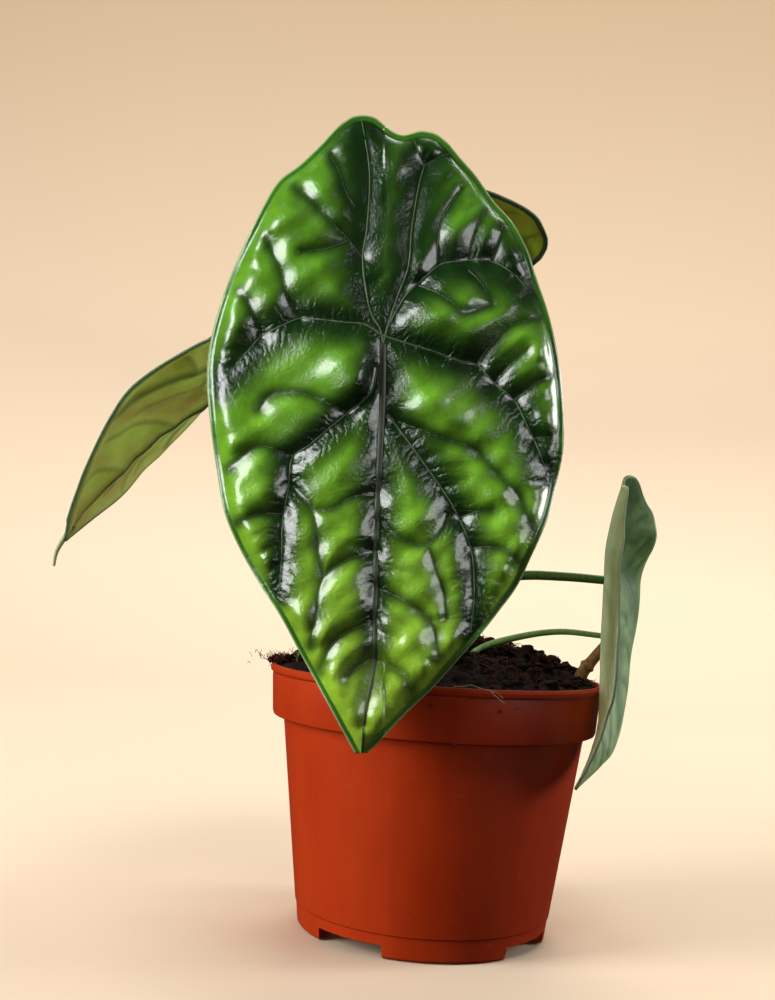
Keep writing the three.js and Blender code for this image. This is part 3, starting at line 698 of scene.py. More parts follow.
@dataclass(frozen=True)
class WaxyLeafFace:
    """A leaf's living upper face: a wax cuticle over quilted tissue.

    The eye sees sharp glints broken by fine wrinkles, green that is almost black along the veins, partly the
    tissue's own colour and partly painted shade in the furrows, and bright green on the swells. Depths,
    spacings and reaches are in millimetres.
    """

    name: str
    # vein_shade: the near black green along the veins, partly the tissue's own colour and partly painted shade
    # in the furrows
    vein_shade: str = "#10340C"
    tip_green: str = "#ACD83A"
    middle_green: str = "#7ABA2A"
    lobe_green: str = "#549218"
    band_green: str = "#42801E"
    # The pale rim: partly the margin's own paler line, partly a painted highlight on its rolled edge
    pale_rim_and_highlight: str = "#A9BE86"
    shade_reach: float = 11.5
    branch_shade_reach: float = 2.4
    shade_contrast: float = 1.6
    tip_brightness: float = 0.9
    patches_a_mm: float = 0.22
    roughness: float = 0.24
    coat: float = 0.7
    coat_roughness: float = 0.14
    wrinkle_depth: float = 0.2
    wrinkle_spacing: float = 1.9
    grains_a_mm: float = 1.9
    pleat_depth: float = 0.22
    pleat_spacing: float = 1.9
    pleat_reach: float = 5.5

    def build(self) -> Material:
        """Makes the material from the blade's own vein distances.

        Returns:
            The finished material.
        """
        recipe = Recipe(self.name)
        drawn = recipe.attribute("drawn_mm", "Vector")
        patches = recipe.clouds(drawn, self.patches_a_mm, 3)
        return recipe.finish(
            Base_Color=self._colour(recipe, patches),
            Roughness=self.roughness,
            IOR=1.5,
            Normal=self._relief(recipe, drawn, patches),
            Coat_Weight=self.coat,
            Coat_Roughness=self.coat_roughness,
        )

    def _colour(self, recipe: Recipe, patches: Socket) -> Socket:
        """Darkens the tissue towards the veins, partly its own darker colour and partly painted shade in the
        furrows, and paints the band and the pale rim along the margin, the rim partly a painted highlight on
        its rolled edge.

        Args:
            recipe: The material being made.
            patches: A broad uneven pattern.

        Returns:
            The colour.
        """
        height = recipe.attribute("height_share")
        margin = recipe.attribute("margin_mm")
        # Painted shade: the dark reaches less far from the ribs towards the tip, and the tip is lifted out of
        # it
        narrowing = recipe.sum("MULTIPLY_ADD", height, 0.75, 0.25)
        scaled_rib = recipe.sum("DIVIDE", recipe.attribute("rib_mm"), narrowing)
        far_rib = recipe.span(scaled_rib, 0.2, self.shade_reach, smooth=True)
        far_branch = recipe.span(recipe.attribute("branch_mm"), -1.2, self.branch_shade_reach, smooth=True)
        at_tip = recipe.span(height, 0.26, 0.05, high=self.tip_brightness)
        lifted = recipe.sum("MAXIMUM", recipe.sum("MULTIPLY", far_rib, far_branch), at_tip)
        # Lighter, yellower green towards the tip: partly the leaf's own colour, partly painted light where the
        # lower blade leans up into the top light
        greens = ((0.0, self.tip_green), (1.0, self.lobe_green), (0.45, self.middle_green))
        green = recipe.colours(height, *greens)
        tissue = recipe.mix(recipe.sum("POWER", lifted, self.shade_contrast), self.vein_shade, green)
        toned = recipe.mix(1.0, tissue, recipe.span(patches, 0.3, 0.7, 0.7, 1.2), "MULTIPLY")
        banded = recipe.mix(recipe.span(margin, 1.3, 0.7, smooth=True), toned, self.band_green)
        # Pale rim at the margin, partly a painted highlight on the rolled edge
        return recipe.mix(recipe.span(margin, 0.35, 0.1), banded, self.pale_rim_and_highlight)

    def _relief(self, recipe: Recipe, drawn: Socket, patches: Socket) -> Socket:
        """Lays slanted pleats along the ribs, and wrinkles and grain over all of the face.

        Args:
            recipe: The material being made.
            drawn: The place in the blade's drawing.
            patches: A broad uneven pattern.

        Returns:
            The tilted normal.
        """
        rib = recipe.attribute("rib_mm")
        slanted = recipe.sum("MULTIPLY_ADD", rib, -0.5, recipe.attribute("along_mm"))
        wandering = recipe.sum("MULTIPLY_ADD", recipe.clouds(drawn, 0.3), 6.0, slanted)
        turn = recipe.sum("MULTIPLY", wandering, math.pi / self.pleat_spacing)
        ridge = recipe.sum("ABSOLUTE", recipe.sum("SINE", turn))
        shares = ((0.12, "#000000"), (0.78, "#8C8C8C"), (0.3, "#FFFFFF"), (0.64, "#FFFFFF"))
        by_height = recipe.colours(recipe.attribute("height_share"), *shares)
        near_rib = recipe.span(rib, self.pleat_reach, 1.4, smooth=True)
        uneven = recipe.span(patches, 0.35, 0.65, 0.2)
        share = recipe.sum("MULTIPLY", recipe.sum("MULTIPLY", near_rib, by_height), uneven)
        pleated = recipe.bump(recipe.sum("MULTIPLY", ridge, share), self.pleat_depth, 0.8)
        wrinkle = recipe.clouds(drawn, 1 / self.wrinkle_spacing, 3, 0.5, 0.5, "RIDGED_MULTIFRACTAL")
        wrinkled = recipe.bump(wrinkle, self.wrinkle_depth, 0.5, pleated)
        grain = recipe.clouds(drawn, self.grains_a_mm, 4, 0.6)
        return recipe.bump(grain, self.wrinkle_depth, 0.6, wrinkled)


@dataclass(frozen=True)
class LeafUnderside:
    """A leaf's underside: matt tissue with raised ribs, lit through from behind.

    The eye sees dull olive with darker soft lines along the veins and a brown flush between them. The tissue is
    kept pale as painted light for what shines through the leaf, and the lobes are darkened as a painted shadow
    of the blade in front.
    """

    name: str
    # Tissue and flush are kept pale: the underside's own colour lightened as painted light for the light that
    # comes through the leaf
    tissue: str = "#C0D678"
    flush: str = "#B6AC66"
    vein_shade: str = "#7E9040"
    margin_tint: str = "#6E8A62"
    rolled: str = "#4A6C64"
    roll_width: float = 0.01
    lobe_painted_shadow: float = 0.85
    roughness: float = 0.5
    flush_a_mm: float = 0.09
    grains_a_mm: float = 1.3

    def build(self) -> Material:
        """Makes the material from the blade's own vein distances.

        Returns:
            The finished material.
        """
        recipe = Recipe(self.name)
        drawn = recipe.attribute("drawn_mm", "Vector")
        height = recipe.attribute("height_share")
        margin = recipe.attribute("margin_mm")
        clouds = recipe.clouds(drawn, self.flush_a_mm, 3)
        flushed = recipe.colours(clouds, (0.35, self.tissue), (0.68, self.flush))
        by_rib = recipe.span(recipe.attribute("rib_mm"), 2.2, 0.3, high=0.8)
        ribbed = recipe.mix(by_rib, flushed, self.vein_shade)
        by_branch = recipe.span(recipe.attribute("branch_mm"), 1.0, 0.0, high=0.5)
        branched = recipe.mix(by_branch, ribbed, self.vein_shade)
        edged = recipe.mix(recipe.span(margin, 1.1, 0.2), branched, self.margin_tint)
        rolled = recipe.mix(self._roll(recipe, drawn, height, margin), edged, self.rolled)
        # Painted shadow: the lobes darken where the blade in front shades them
        lobe_shadow = recipe.span(height, 0.72, 0.95, 1.0, self.lobe_painted_shadow)
        return recipe.finish(
            Base_Color=recipe.mix(1.0, rolled, lobe_shadow, "MULTIPLY"),
            Roughness=self.roughness,
            IOR=1.4,
            Normal=recipe.bump(recipe.clouds(drawn, self.grains_a_mm, 4), 0.15, 0.3),
            Subsurface_Weight=0.6,
            Subsurface_Radius=(1.0, 1.0, 0.4),
            Subsurface_Scale=1.5 * MM,
        )

    def _roll(self, recipe: Recipe, drawn: Socket, height: Socket, margin: Socket) -> Socket:
        """Marks the strip of upper face that shows where the right lobe's margin rolls under.

        Args:
            recipe: The material being made.
            drawn: The place in the blade's drawing.
            height: The height in the drawing, from 0 at the tip to 1 at the lobes.
            margin: The distance from the margin.

        Returns:
            The strip's share.
        """
        across = recipe.add("ShaderNodeSeparateXYZ", inputs={"Vector": drawn}).outputs["X"]
        on_half = recipe.span(across, 2.0, 4.0)
        width = recipe.span(height, 0.4, 0.54, 0.001, self.roll_width, smooth=True)
        narrowed = recipe.sum("MULTIPLY", width, recipe.span(height, 0.58, 0.68, 1.0, 0.35))
        on_roll = recipe.span(recipe.sum("DIVIDE", margin, narrowed), 1.1, 0.95)
        return recipe.sum("MULTIPLY", on_roll, on_half)


@dataclass(frozen=True)
class StemSkin:
    """The skin of a stalk or rib: smooth, faintly streaked along its length, with a soft gloss."""

    name: str
    low: str
    high: str
    roughness: float = 0.4
    streak_width: float = 0.5
    streak_length: float = 6.0

    def build(self) -> Material:
        """Makes the material with streaks that run up the stalk.

        Returns:
            The finished material.
        """
        recipe = Recipe(self.name)
        streaks = recipe.clouds(recipe.stretch(self.streak_width, self.streak_length), 1, 3)
        return recipe.finish(
            Base_Color=recipe.colours(streaks, (0.3, self.low), (0.7, self.high)),
            Roughness=self.roughness,
            IOR=1.42,
            Normal=recipe.bump(streaks, 0.1, 0.3),
        )


@dataclass(frozen=True)
class MouldedPolypropylene:
    """Injection moulded polypropylene, terracotta through and through.

    The eye sees a satin face with soft broad glints, faint flow marks round it, and dull dusty spots.
    """

    name: str = "polypropylene_moulded_terracotta"
    colour: str = "#C03C12"
    flow_mark: str = "#B4330C"
    dust: str = "#B96A45"
    roughness: float = 0.42
    flow_width: float = 9.0
    flow_length: float = 22.0
    dust_size: float = 1.4
    grain: float = 0.5

    def build(self) -> Material:
        """Makes the material with flow marks and a fine mould texture.

        Returns:
            The finished material.
        """
        recipe = Recipe(self.name)
        place = recipe.place()
        marks = recipe.clouds(recipe.stretch(self.flow_width, self.flow_length), 1, 4)
        body = recipe.colours(marks, (0.35, self.colour), (0.7, self.flow_mark))
        dusty = recipe.span(recipe.clouds(place, 1 / (self.dust_size * MM)), 0.66, 0.8, high=0.3)
        return recipe.finish(
            Base_Color=recipe.mix(dusty, body, self.dust),
            Roughness=self.roughness,
            IOR=1.49,
            Specular_IOR_Level=0.15,
            Normal=recipe.bump(recipe.clouds(place, 1 / (self.grain * MM), 3), 0.06, 0.12),
        )


@dataclass(frozen=True)
class DampGrain:
    """Damp milled peat, bark or dried plant fibre: dull, dark, with rusty threads through it."""

    name: str
    dark: str = "#0A0503"
    middle: str = "#1C0E07"
    light: str = "#4E2716"
    grain: float = 0.7
    roughness: float = 0.95
    gloss: float = 0.2

    def build(self) -> Material:
        """Makes the material with coarse and fine grain.

        Returns:
            The finished material.
        """
        recipe = Recipe(self.name)
        grain = recipe.clouds(recipe.place(), 1 / (self.grain * MM), 5, 0.7)
        return recipe.finish(
            Base_Color=recipe.colours(grain, (0.3, self.dark), (0.78, self.light), (0.55, self.middle)),
            Roughness=self.roughness,
            IOR=1.4,
            Specular_IOR_Level=self.gloss,
            Normal=recipe.bump(grain, 0.3, 0.9),
        )


@dataclass(frozen=True)
class PaperBackdrop:
    """A wide roll of matt paper, graded from cream at the floor to tan above as painted light falloff, with no
    gloss.
    """

    name: str = "paper_rolled_painted_falloff"
    floor: str = "#F2DCC0"
    bend: str = "#FAE4C6"
    middle: str = "#FBDEBC"
    high: str = "#CDB08C"
    top: float = 0.95
    fibre: float = 1.5

    def build(self) -> Material:
        """Makes the material with a barely visible tooth.

        Returns:
            The finished material.
        """
        recipe = Recipe(self.name)
        place = recipe.place()
        height = recipe.add("ShaderNodeSeparateXYZ", inputs={"Vector": place}).outputs["Z"]
        share = recipe.span(height, 0.0, self.top)
        # Painted light: brightest just above the bend, falling off to darker tan towards the top
        stops = ((0.0, self.floor), (1.0, self.high), (0.4, self.middle), (0.08, self.bend))
        return recipe.finish(
            Base_Color=recipe.colours(share, *stops),
            Roughness=0.9,
            Specular_IOR_Level=0.1,
            Normal=recipe.bump(recipe.clouds(place, 1 / (self.fibre * MM)), 0.05, 0.05),
        )


def link(name: str, mesh: bpy.types.Mesh, *materials: Material) -> bpy.types.Object:
    """Puts a mesh in the scene with its materials.

    Args:
        name: The piece's name.
        mesh: A mesh with its place in its vertices, in metres.
        materials: The materials, in the order of its slots.

    Returns:
        The new object.
    """
    for material in materials:
        mesh.materials.append(material)
    piece = bpy.data.objects.new(name, mesh)
    bpy.context.scene.collection.objects.link(piece)
    return piece


def settle(piece: bpy.types.Object, slot: str, *nodes: str) -> bpy.types.Object:
    """Makes a finished piece ride on the plant, and stand for the CAD nodes that it replaces.

    Args:
        piece: The finished piece.
        slot: The record's material slot that it belongs to; not used.
        nodes: The CAD nodes that it stands for, if any.

    Returns:
        The same piece.
    """
    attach(piece, BODY)
    if nodes:
        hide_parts(*nodes)
    log.info("%s: %d vertices", piece.name, len(piece.data.vertices))
    return piece


def dress(mesh: bpy.types.Mesh, material: Material, slot: str, *nodes: str) -> bpy.types.Object:
    """Links a mesh of one material under its own name, and settles it."""
    return settle(link(mesh.name, mesh, material), slot, *nodes)


def mesh_from(bm: bmesh.types.BMesh, name: str, sharp_above: float = math.pi) -> bpy.types.Mesh:
    """Turns a bmesh to a smooth-shaded mesh and frees it.

    Args:
        bm: The bmesh.
        name: The mesh's name.
        sharp_above: Edges that bend by more than this angle stay sharp.

    Returns:
        The new mesh.
    """
    for face in bm.faces:
        face.smooth = True
    for edge in bm.edges:
        edge.smooth = not (len(edge.link_faces) == 2 and edge.calc_face_angle() > sharp_above)
    mesh = bpy.data.meshes.new(name)
    bm.to_mesh(mesh)
    bm.free()
    return mesh


def spun(profile: Points, steps: int) -> bmesh.types.BMesh:
    """Spins a profile a full turn about the upright axis, with its poles closed.

    Args:
        profile: The radius and height of each corner, in millimetres.
        steps: The number of sides.

    Returns:
        The closed shape, in metres.
    """
    bm = bmesh.new()
    corners = [bm.verts.new((r * MM, 0, z * MM)) for r, z in profile]
    edges = [bm.edges.new(pair) for pair in zip(corners, corners[1:])]
    bmesh.ops.spin(
        bm, geom=corners + edges, cent=(0, 0, 0), axis=(0, 0, 1), angle=math.tau, steps=steps, use_merge=True
    )
    bmesh.ops.remove_doubles(bm, verts=bm.verts, dist=0.001 * MM)
    bmesh.ops.recalc_face_normals(bm, faces=bm.faces)
    return bm


def tubes(name: str, strands: Strands, roundness: int = 1) -> bpy.types.Mesh:
    """Makes round, tapered tubes along several paths as one mesh.

    Args:
        name: The mesh's name.
        strands: The points and the radii of each tube, in millimetres.
        roundness: The bevel's resolution: 0 gives 4 sides, 1 gives 6 and 2 gives 8.

    Returns:
        The mesh, with each tube closed at its ends.
    """
    curve = bpy.data.curves.new(name, "CURVE")
    curve.dimensions = "3D"
    curve.bevel_depth = MM
    curve.bevel_resolution = roundness
    curve.use_fill_caps = True
    for points, radii in strands:
        spline = curve.splines.new("POLY")
        spline.points.add(len(points) - 1)
        spline.points.foreach_set("co", np.column_stack([points * MM, np.ones(len(points))]).ravel())
        spline.points.foreach_set("radius", np.asarray(radii, float))
    carrier = bpy.data.objects.new(name, curve)
    bpy.context.scene.collection.objects.link(carrier)
    graph = bpy.context.evaluated_depsgraph_get()
    mesh = bpy.data.meshes.new_from_object(carrier.evaluated_get(graph))
    bpy.data.objects.remove(carrier)
    bpy.data.curves.remove(curve)
    mesh.name = name
    bm = bmesh.new()
    bm.from_mesh(mesh)
    bmesh.ops.recalc_face_normals(bm, faces=bm.faces)
    bpy.data.meshes.remove(mesh)
    return mesh_from(bm, name, math.radians(60))


@dataclass
class Blade:
    """One leaf blade: a quilted sheet with thickness, and the veins that stand on it."""

    name: str
    pose: FrontPose | ArchedPose
    columns: int
    rows: int
    slot: str
    face: Material
    underside: Material
    rim: Material
    midrib: Material
    veins: Material
    under_ribs: Material
    thickness: float = 0.5
    vein_scale: float = 1.0
    points_a_mm: float = 1.5
    under_rib_scale: float = 1.15
    drawing: BladeDrawing = BladeDrawing()
    quilting: Quilting = Quilting()

    def _gaps(self, places: np.ndarray) -> dict[str, np.ndarray]:
        """Measures how far places lie from the margin and from each rank of vein.

        Args:
            places: One row of x and y for each place.

        Returns:
            The distances by rank, and the lengths along the nearest rib and round the margin.
        """
        lines = self.drawing.lines()
        gaps = {}
        gaps["margin"], gaps["round"] = nearest_on(lines["margin"], places)
        gaps["ribs"], gaps["along"] = nearest_on(lines["midrib"] + lines["ribs"], places)
        gaps["branches"] = nearest_on(lines["branches"], places)[0]
        gaps["creases"] = nearest_on(lines["creases"], places)[0]
        return gaps

    def build(self) -> list[bpy.types.Object]:
        """Makes the blade and its veins.

        Returns:
            The blade, its midrib, its upper veins and its lower ribs.
        """
        return [self._sheet(), self._midrib(), self._upper_veins(), self._lower_ribs()]

    def _sheet(self) -> bpy.types.Object:
        """Makes the quilted sheet from a grid, and gives it thickness.

        Returns:
            The finished piece.
        """
        bm = bmesh.new()
        bmesh.ops.create_grid(bm, x_segments=self.columns, y_segments=self.rows, size=0.5)
        shares = np.array([(v.co.x, v.co.y) for v in bm.verts]) + 0.5
        across = 1 - shares[:, 0] if self.pose.mirrored else shares[:, 0]
        places = self.drawing.spread(across, shares[:, 1])
        gaps = self._gaps(places)
        height = self.quilting.height(places, gaps)
        positions = self.pose.place(places, height, gaps["margin"]) * MM
        for vertex, position in zip(bm.verts, positions):
            vertex.co = position
        mesh = mesh_from(bm, self.name + "_sheet")
        remembered = {
            "rib_mm": gaps["ribs"],
            "branch_mm": np.minimum(gaps["ribs"], gaps["branches"]),
            "along_mm": gaps["along"],
            "margin_mm": gaps["margin"],
            "height_share": shares[:, 1],
        }
        for name, values in remembered.items():
            mesh.attributes.new(name, "FLOAT", "POINT").data.foreach_set("value", values.astype(np.float32))
        drawn = mesh.attributes.new("drawn_mm", "FLOAT_VECTOR", "POINT")
        drawn.data.foreach_set("vector", np.column_stack([places, np.zeros(len(places))]).ravel())
        sheet = link(mesh.name, mesh, self.face, self.underside, self.rim)
        wall = sheet.modifiers.new("thickness", "SOLIDIFY")
        wall.thickness = self.thickness * MM
        wall.offset = -1
        wall.material_offset = 1
        wall.material_offset_rim = 2
        return settle(sheet, self.slot, self.name)

    def _strands(self, sink: float, ranks: dict[str, VeinRank]) -> Strands:
        """Lays each vein along the sheet.

        Args:
            sink: How far under the upper face the middle of each vein lies, in millimetres.
            ranks: The strength of each group of veins.

        Returns:
            The points and the radii of each vein.
        """
        lines = self.drawing.lines()
        runs = []
        for group, rank in ranks.items():
            for line in lines[group]:
                steps = max(6, int(line.length * self.points_a_mm))
                runs.append((line.at(np.linspace(0, 1, steps)), rank))
        places = np.vstack([run for run, _ in runs])
        gaps = self._gaps(places)
        radii = np.concatenate([np.linspace(*rank.value[:2], len(run)) for run, rank in runs])
        radii *= self.vein_scale
        radii *= np.clip((gaps["margin"] + 0.3) / 1.5, 0.3, 1)
        sunk = sink + radii * np.concatenate([np.full(len(run), rank.value[2]) for run, rank in runs])
        points = self.pose.place(places, self.quilting.height(places, gaps) - sunk, gaps["margin"])
        ends = np.cumsum([len(run) for run, _ in runs])[:-1]
        return list(zip(np.split(points, ends), np.split(radii, ends)))

    def _midrib(self) -> bpy.types.Object:
        """Makes the broad low midrib of the upper face."""
        mesh = tubes(self.name + "_midrib", self._strands(0.0, {"midrib": VeinRank.MIDRIB}), roundness=3)
        return dress(mesh, self.midrib, self.slot)

    def _upper_veins(self) -> bpy.types.Object:
        """Makes the fine raised lines along the floor of each furrow."""
        ranks = {"ribs": VeinRank.RIB, "branches": VeinRank.BRANCH}
        return dress(tubes(self.name + "_veins", self._strands(0.02, ranks)), self.veins, self.slot)

    def _lower_ribs(self) -> bpy.types.Object:
        """Makes the ribs that stand out of the underside.

        Returns:
            The finished piece.
        """
        strands = self._strands(self.thickness, {"midrib": VeinRank.MIDRIB, "ribs": VeinRank.RIB})
        strands = [(points, radii * self.under_rib_scale) for points, radii in strands]
        return dress(tubes(self.name + "_ribs", strands), self.under_ribs, self.slot)


@dataclass
class Stem:
    """A petiole, or what is left of one: a round stalk along a bent line."""

    name: str
    path: Points
    radii: tuple[float, float]
    slot: str
    skin: Material
    swollen: float = 1.0
    flare: float = 1.0
    knots: tuple[float, ...] = ()
    steps: int = 90

    def build(self) -> bpy.types.Object:
        """Makes the stalk, swollen at its sheath and flared where it meets its blade.

        Returns:
            The finished piece.
        """
        line = Line(self.path)
        shares = np.linspace(0, 1, self.steps)
        low, high = self.radii
        sheath = 1 + (self.swollen - 1) * np.clip(1 - shares / 0.3, 0, 1)
        flare = 1 + (self.flare - 1) * np.clip((shares - 0.93) / 0.07, 0, 1) ** 2
        knots = np.ones(self.steps)
        for knot in self.knots:
            knots += 0.3 * np.exp(-(((shares - knot) / 0.03) ** 2))
        radii = (low + (high - low) * shares) * sheath * flare * knots
        mesh = tubes(self.name + "_stalk", [(line.at(shares), radii)], roundness=6)
        return dress(mesh, self.skin, self.slot, self.name)


@dataclass
class NurseryPot:
    """The moulded pot: a foot skirt with drain arches, a tapered body and a banded rim."""

    plastic: Material
    height: float = 54.0
    rim_radius: float = 36.0
    band_height: float = 10.7
    band_foot_radius: float = 34.9
    body_top_radius: float = 32.5
    foot_radius: float = 26.5
    wall: float = 1.0
    floor_height: float = 2.6
    floor_thickness: float = 1.2
    pad_radius: float = 6.0
    arches: int = 4
    arch_angle: float = math.radians(34)
    first_arch: float = math.radians(237.5)
    drain_radius: float = 2.4
    drain_ring: float = 17.0
    edge_round: float = 0.14
    edge_angle: float = math.radians(28)
    sides: int = 176

    def _profile(self) -> list[tuple[float, float]]:
        """Works out the pot's section.

        Returns:
            The radius and height of each corner, from the pad round to the inside floor.
        """
        shelf = self.height - self.band_height
        floor_top = self.floor_height + self.floor_thickness
        foot = self.foot_radius
        rim = self.rim_radius
        inner_rim = rim - self.wall
        inner_body = self.body_top_radius - self.wall
        return [
            (0, 0),
            (self.pad_radius, 0),
            (self.pad_radius + 0.6, self.floor_height),
            (foot - 1.4, self.floor_height),
            (foot - 1.2, 0),
            (foot - 0.3, 0),
            (foot, 0.4),
            (foot + 0.5, 4.5),
            (foot + 0.75, 4.8),
            (foot + 0.8, 5.1),
            (self.body_top_radius, shelf),
            (self.band_foot_radius - 0.7, shelf),
            (self.band_foot_radius - 0.2, shelf + 0.2),
            (self.band_foot_radius, shelf + 0.8),
            (rim - 0.55, self.height - 2.4),
            (rim - 0.6, self.height - 1.8),
            (rim - 0.1, self.height - 1.3),
            (rim, self.height - 0.6),
            (rim - 0.4, self.height),
            (inner_rim, self.height),
            (inner_rim - 0.4, self.height - 0.8),
            (self.band_foot_radius - self.wall, shelf + self.wall + 0.5),
            (inner_body + 0.2, shelf + self.wall),
            (inner_body, shelf),
            (foot - self.wall + 0.4, floor_top),
            (0, floor_top),
        ]

    def build(self) -> bpy.types.Object:
        """Spins the profile, cuts the arches and drain holes, and rounds the edges.

        Returns:
            The finished pot.
        """
        blank = link("pot_blank", mesh_from(spun(self._profile(), self.sides), "pot_blank"))
        cutter = link("pot_cutter", self._cutter())
        cut = blank.modifiers.new("cut", "BOOLEAN")
        cut.object = cutter
        cut.operation = "DIFFERENCE"
        graph = bpy.context.evaluated_depsgraph_get()
        bm = bmesh.new()
        bm.from_mesh(blank.evaluated_get(graph).to_mesh())
        for spare in (blank, cutter):
            bpy.data.objects.remove(spare)
        pot = link("nursery_pot", mesh_from(bm, "nursery_pot", self.edge_angle), self.plastic)
        rounding = pot.modifiers.new("rounding", "BEVEL")
        rounding.width = self.edge_round * MM
        rounding.segments = 2
        rounding.limit_method = "ANGLE"
        rounding.angle_limit = self.edge_angle
        return settle(pot, "pot_plastic", "pot")

    def _cutter(self) -> bpy.types.Mesh:
        """Makes the blocks that cut the arches and the plugs that cut the drain holes.

        Returns:
            The cutter's mesh.
        """
        bm = bmesh.new()
        chord = 2 * self.foot_radius * math.sin(self.arch_angle / 2)
        for i in range(self.arches):
            middle = Matrix.Rotation(self.first_arch + i * math.tau / self.arches, 4, "Z")
            block = Matrix.Diagonal((6 * MM, chord * MM, 3.5 * MM, 1))
            out = Matrix.Translation((self.foot_radius * MM, 0, 0.75 * MM))
            bmesh.ops.create_cube(bm, size=1, matrix=middle @ out @ block)
            hole = Matrix.Translation((self.drain_ring * MM, 0, (self.floor_height + 0.6) * MM))
            bmesh.ops.create_cone(
                bm,
                cap_ends=True,
                segments=32,
                radius1=self.drain_radius * MM,
                radius2=self.drain_radius * MM,
                depth=4 * MM,
                matrix=middle @ hole,
            )
        return mesh_from(bm, "pot_cutter")


@dataclass
class PottingMix:
    """The damp mix: a crumbly heap with loose crumbs, rusty fibres and a little moss."""

    soil: Material
    fibre: Material
    pale_fibre: Material
    moss: Material
    edge_height: float = 53.6
    heap: float = 5.2
    back_rise: float = 3.0
    tilt: float = 0.018
    rim_inside: float = 35.0
    edge: float = 34.2
    crumbs: int = 820
    fibres: int = 110
    moss_leaves: int = 110
    clods: Sequence[tuple[float, float, float, float]] = (
        (8.0, 1.0, 60.4, 2.0), (11.2, -1.0, 59.0, 1.6), (14.4, 0.0, 58.8, 1.8), (19.2, -2.0, 58.8, 2.0),
        (21.8, -4.0, 57.9, 1.9), (24.6, -2.0, 57.0, 1.5), (28.2, -1.0, 56.2, 1.5), (5.0, -14.0, 58.6, 1.6),
        (17.0, -12.0, 57.0, 1.7), (-33.6, -5.0, 54.6, 1.0), (-31.4, -7.0, 55.0, 1.1), (-34.8, -4.0, 54.8, 0.8),
        (-29.6, -4.0, 55.2, 1.2), (-33.0, -9.0, 54.5, 0.8), (-35.6, -6.0, 54.6, 0.6),
    )
    hairs: int = 150
    pot_specks: Sequence[tuple[float, float, float, float]] = (
        (-0.8, -35.5, 50.4, 0.3), (7.1, -34.9, 52.3, 0.22), (12.5, -33.2, 50.0, 0.34), (4.4, -34.7, 43.1, 0.36),
        (-3.5, -35.3, 50.9, 0.16), (15.8, -31.8, 50.6, 0.2),
    )
    rim_fibre: Points = (
        (3.6, -34.0, 54.2), (5.6, -36.0, 54.5), (6.5, -36.4, 54.9), (8.4, -36.6, 54.4), (10.3, -36.7, 54.1),
        (11.6, -36.6, 53.8), (12.8, -36.5, 52.8),
    )
    rim_fibre_fork: Points = ((10.4, -36.7, 54.0), (11.3, -36.8, 53.2), (13.2, -36.5, 51.9))
    seed: int = 11

    def height(self, x: float, y: float) -> float:
        """Works out the height of the heap, as the CAD source does.

        Args:
            x: The place's distance to the right of the pot's axis.
            y: Its distance behind the axis.

        Returns:
            The height over the floor.
        """
        reach = min(math.hypot(x, y) / self.rim_inside, 1)
        heap = self.heap * (1 - reach**3) * (1 + self.tilt * y)
        back = self.back_rise * max(y, 0) / 36
        lumps = 0.7 * math.sin(0.55 * x + 1) * math.cos(0.6 * y - 0.4) + 0.4 * math.sin(1.3 * x - 0.8 * y)
        return self.edge_height + heap + back + lumps * (1 - reach**6)

    def build(self) -> list[bpy.types.Object]:
        """Makes the heap and what lies on it.

        Returns:
            The heap, its clods, crumbs, fibres and moss, the pale fibre, the hairs and the specks.
        """
        makers = (
            self._heap, self._clods, self._crumbs, self._fibres, self._moss, self._rim_fibre, self._hairs,
            self._specks,
        )  # fmt: skip
        return [make() for make in makers]

    def _hairs(self) -> bpy.types.Object:
        """Makes the fuzz of root hairs that hangs over the rim at the left.

        Returns:
            The finished piece.
        """
        draw = random.Random(self.seed + 3)
        strands = []
        for _ in range(self.hairs):
            start = np.array((draw.gauss(-33.5, 2.0), draw.gauss(-5.5, 2.5), draw.gauss(54.9, 0.6)))
            way = np.array((draw.uniform(-1.2, 0.8), draw.uniform(-1.2, 0.6), draw.uniform(-0.3, 1.6)))
            bend = np.array((draw.uniform(-0.5, 0.5), draw.uniform(-0.5, 0.5), draw.uniform(-0.8, 0.2)))
            points = np.array([start, start + way * 0.6, start + way + bend])
            strands.append((points, np.array((0.07, 0.06, 0.03))))
        return dress(tubes("rim_hairs", strands, roundness=0), self.fibre, "potting_mix")

    def _specks(self) -> bpy.types.Object:
        """Makes the specks of mix that stick to the pot's band.

        Returns:
            The finished piece.
        """
        draw = random.Random(self.seed + 4)
        bm = bmesh.new()
        for x, y, z, size in self.pot_specks:
            out = Vector((x, y, 0)).normalized()
            for vertex in bmesh.ops.create_icosphere(bm, subdivisions=2, radius=size)["verts"]:
                spread = vertex.co * draw.uniform(0.7, 1.2)
                flat = spread - out * spread.dot(out) * 0.7
                vertex.co = (Vector((x, y, z)) + flat) * MM
        return dress(mesh_from(bm, "pot_specks", math.radians(60)), self.fibre, "potting_mix")

    def _clods(self) -> bpy.types.Object:
        """Makes the ragged clods along the crest, each a ball roughened by noise.

        Returns:
            The finished piece.
        """
        bm = bmesh.new()
        for x, y, z, size in self.clods:
            middle = Vector((x, y, z))
            for vertex in bmesh.ops.create_icosphere(bm, subdivisions=4, radius=size)["verts"]:
                way = vertex.co.normalized()
                rough = 1 + 0.55 * noise.fractal(way * 1.6 + middle, 0.6, 2.2, 5)
                vertex.co = (middle + way * size * rough) * MM
        return dress(mesh_from(bm, "potting_mix_clods", math.radians(60)), self.soil, "potting_mix")

    def _rim_fibre(self) -> bpy.types.Object:
        """Lays the forked pale fibre over the front of the rim.

        Returns:
            The finished piece.
        """
        strands = []
        for path in (self.rim_fibre, self.rim_fibre_fork):
            strands.append((Line(path).at(np.linspace(0, 1, 16)), np.linspace(0.13, 0.06, 16)))
        return dress(tubes("rim_fibre", strands, roundness=0), self.pale_fibre, "potting_mix")

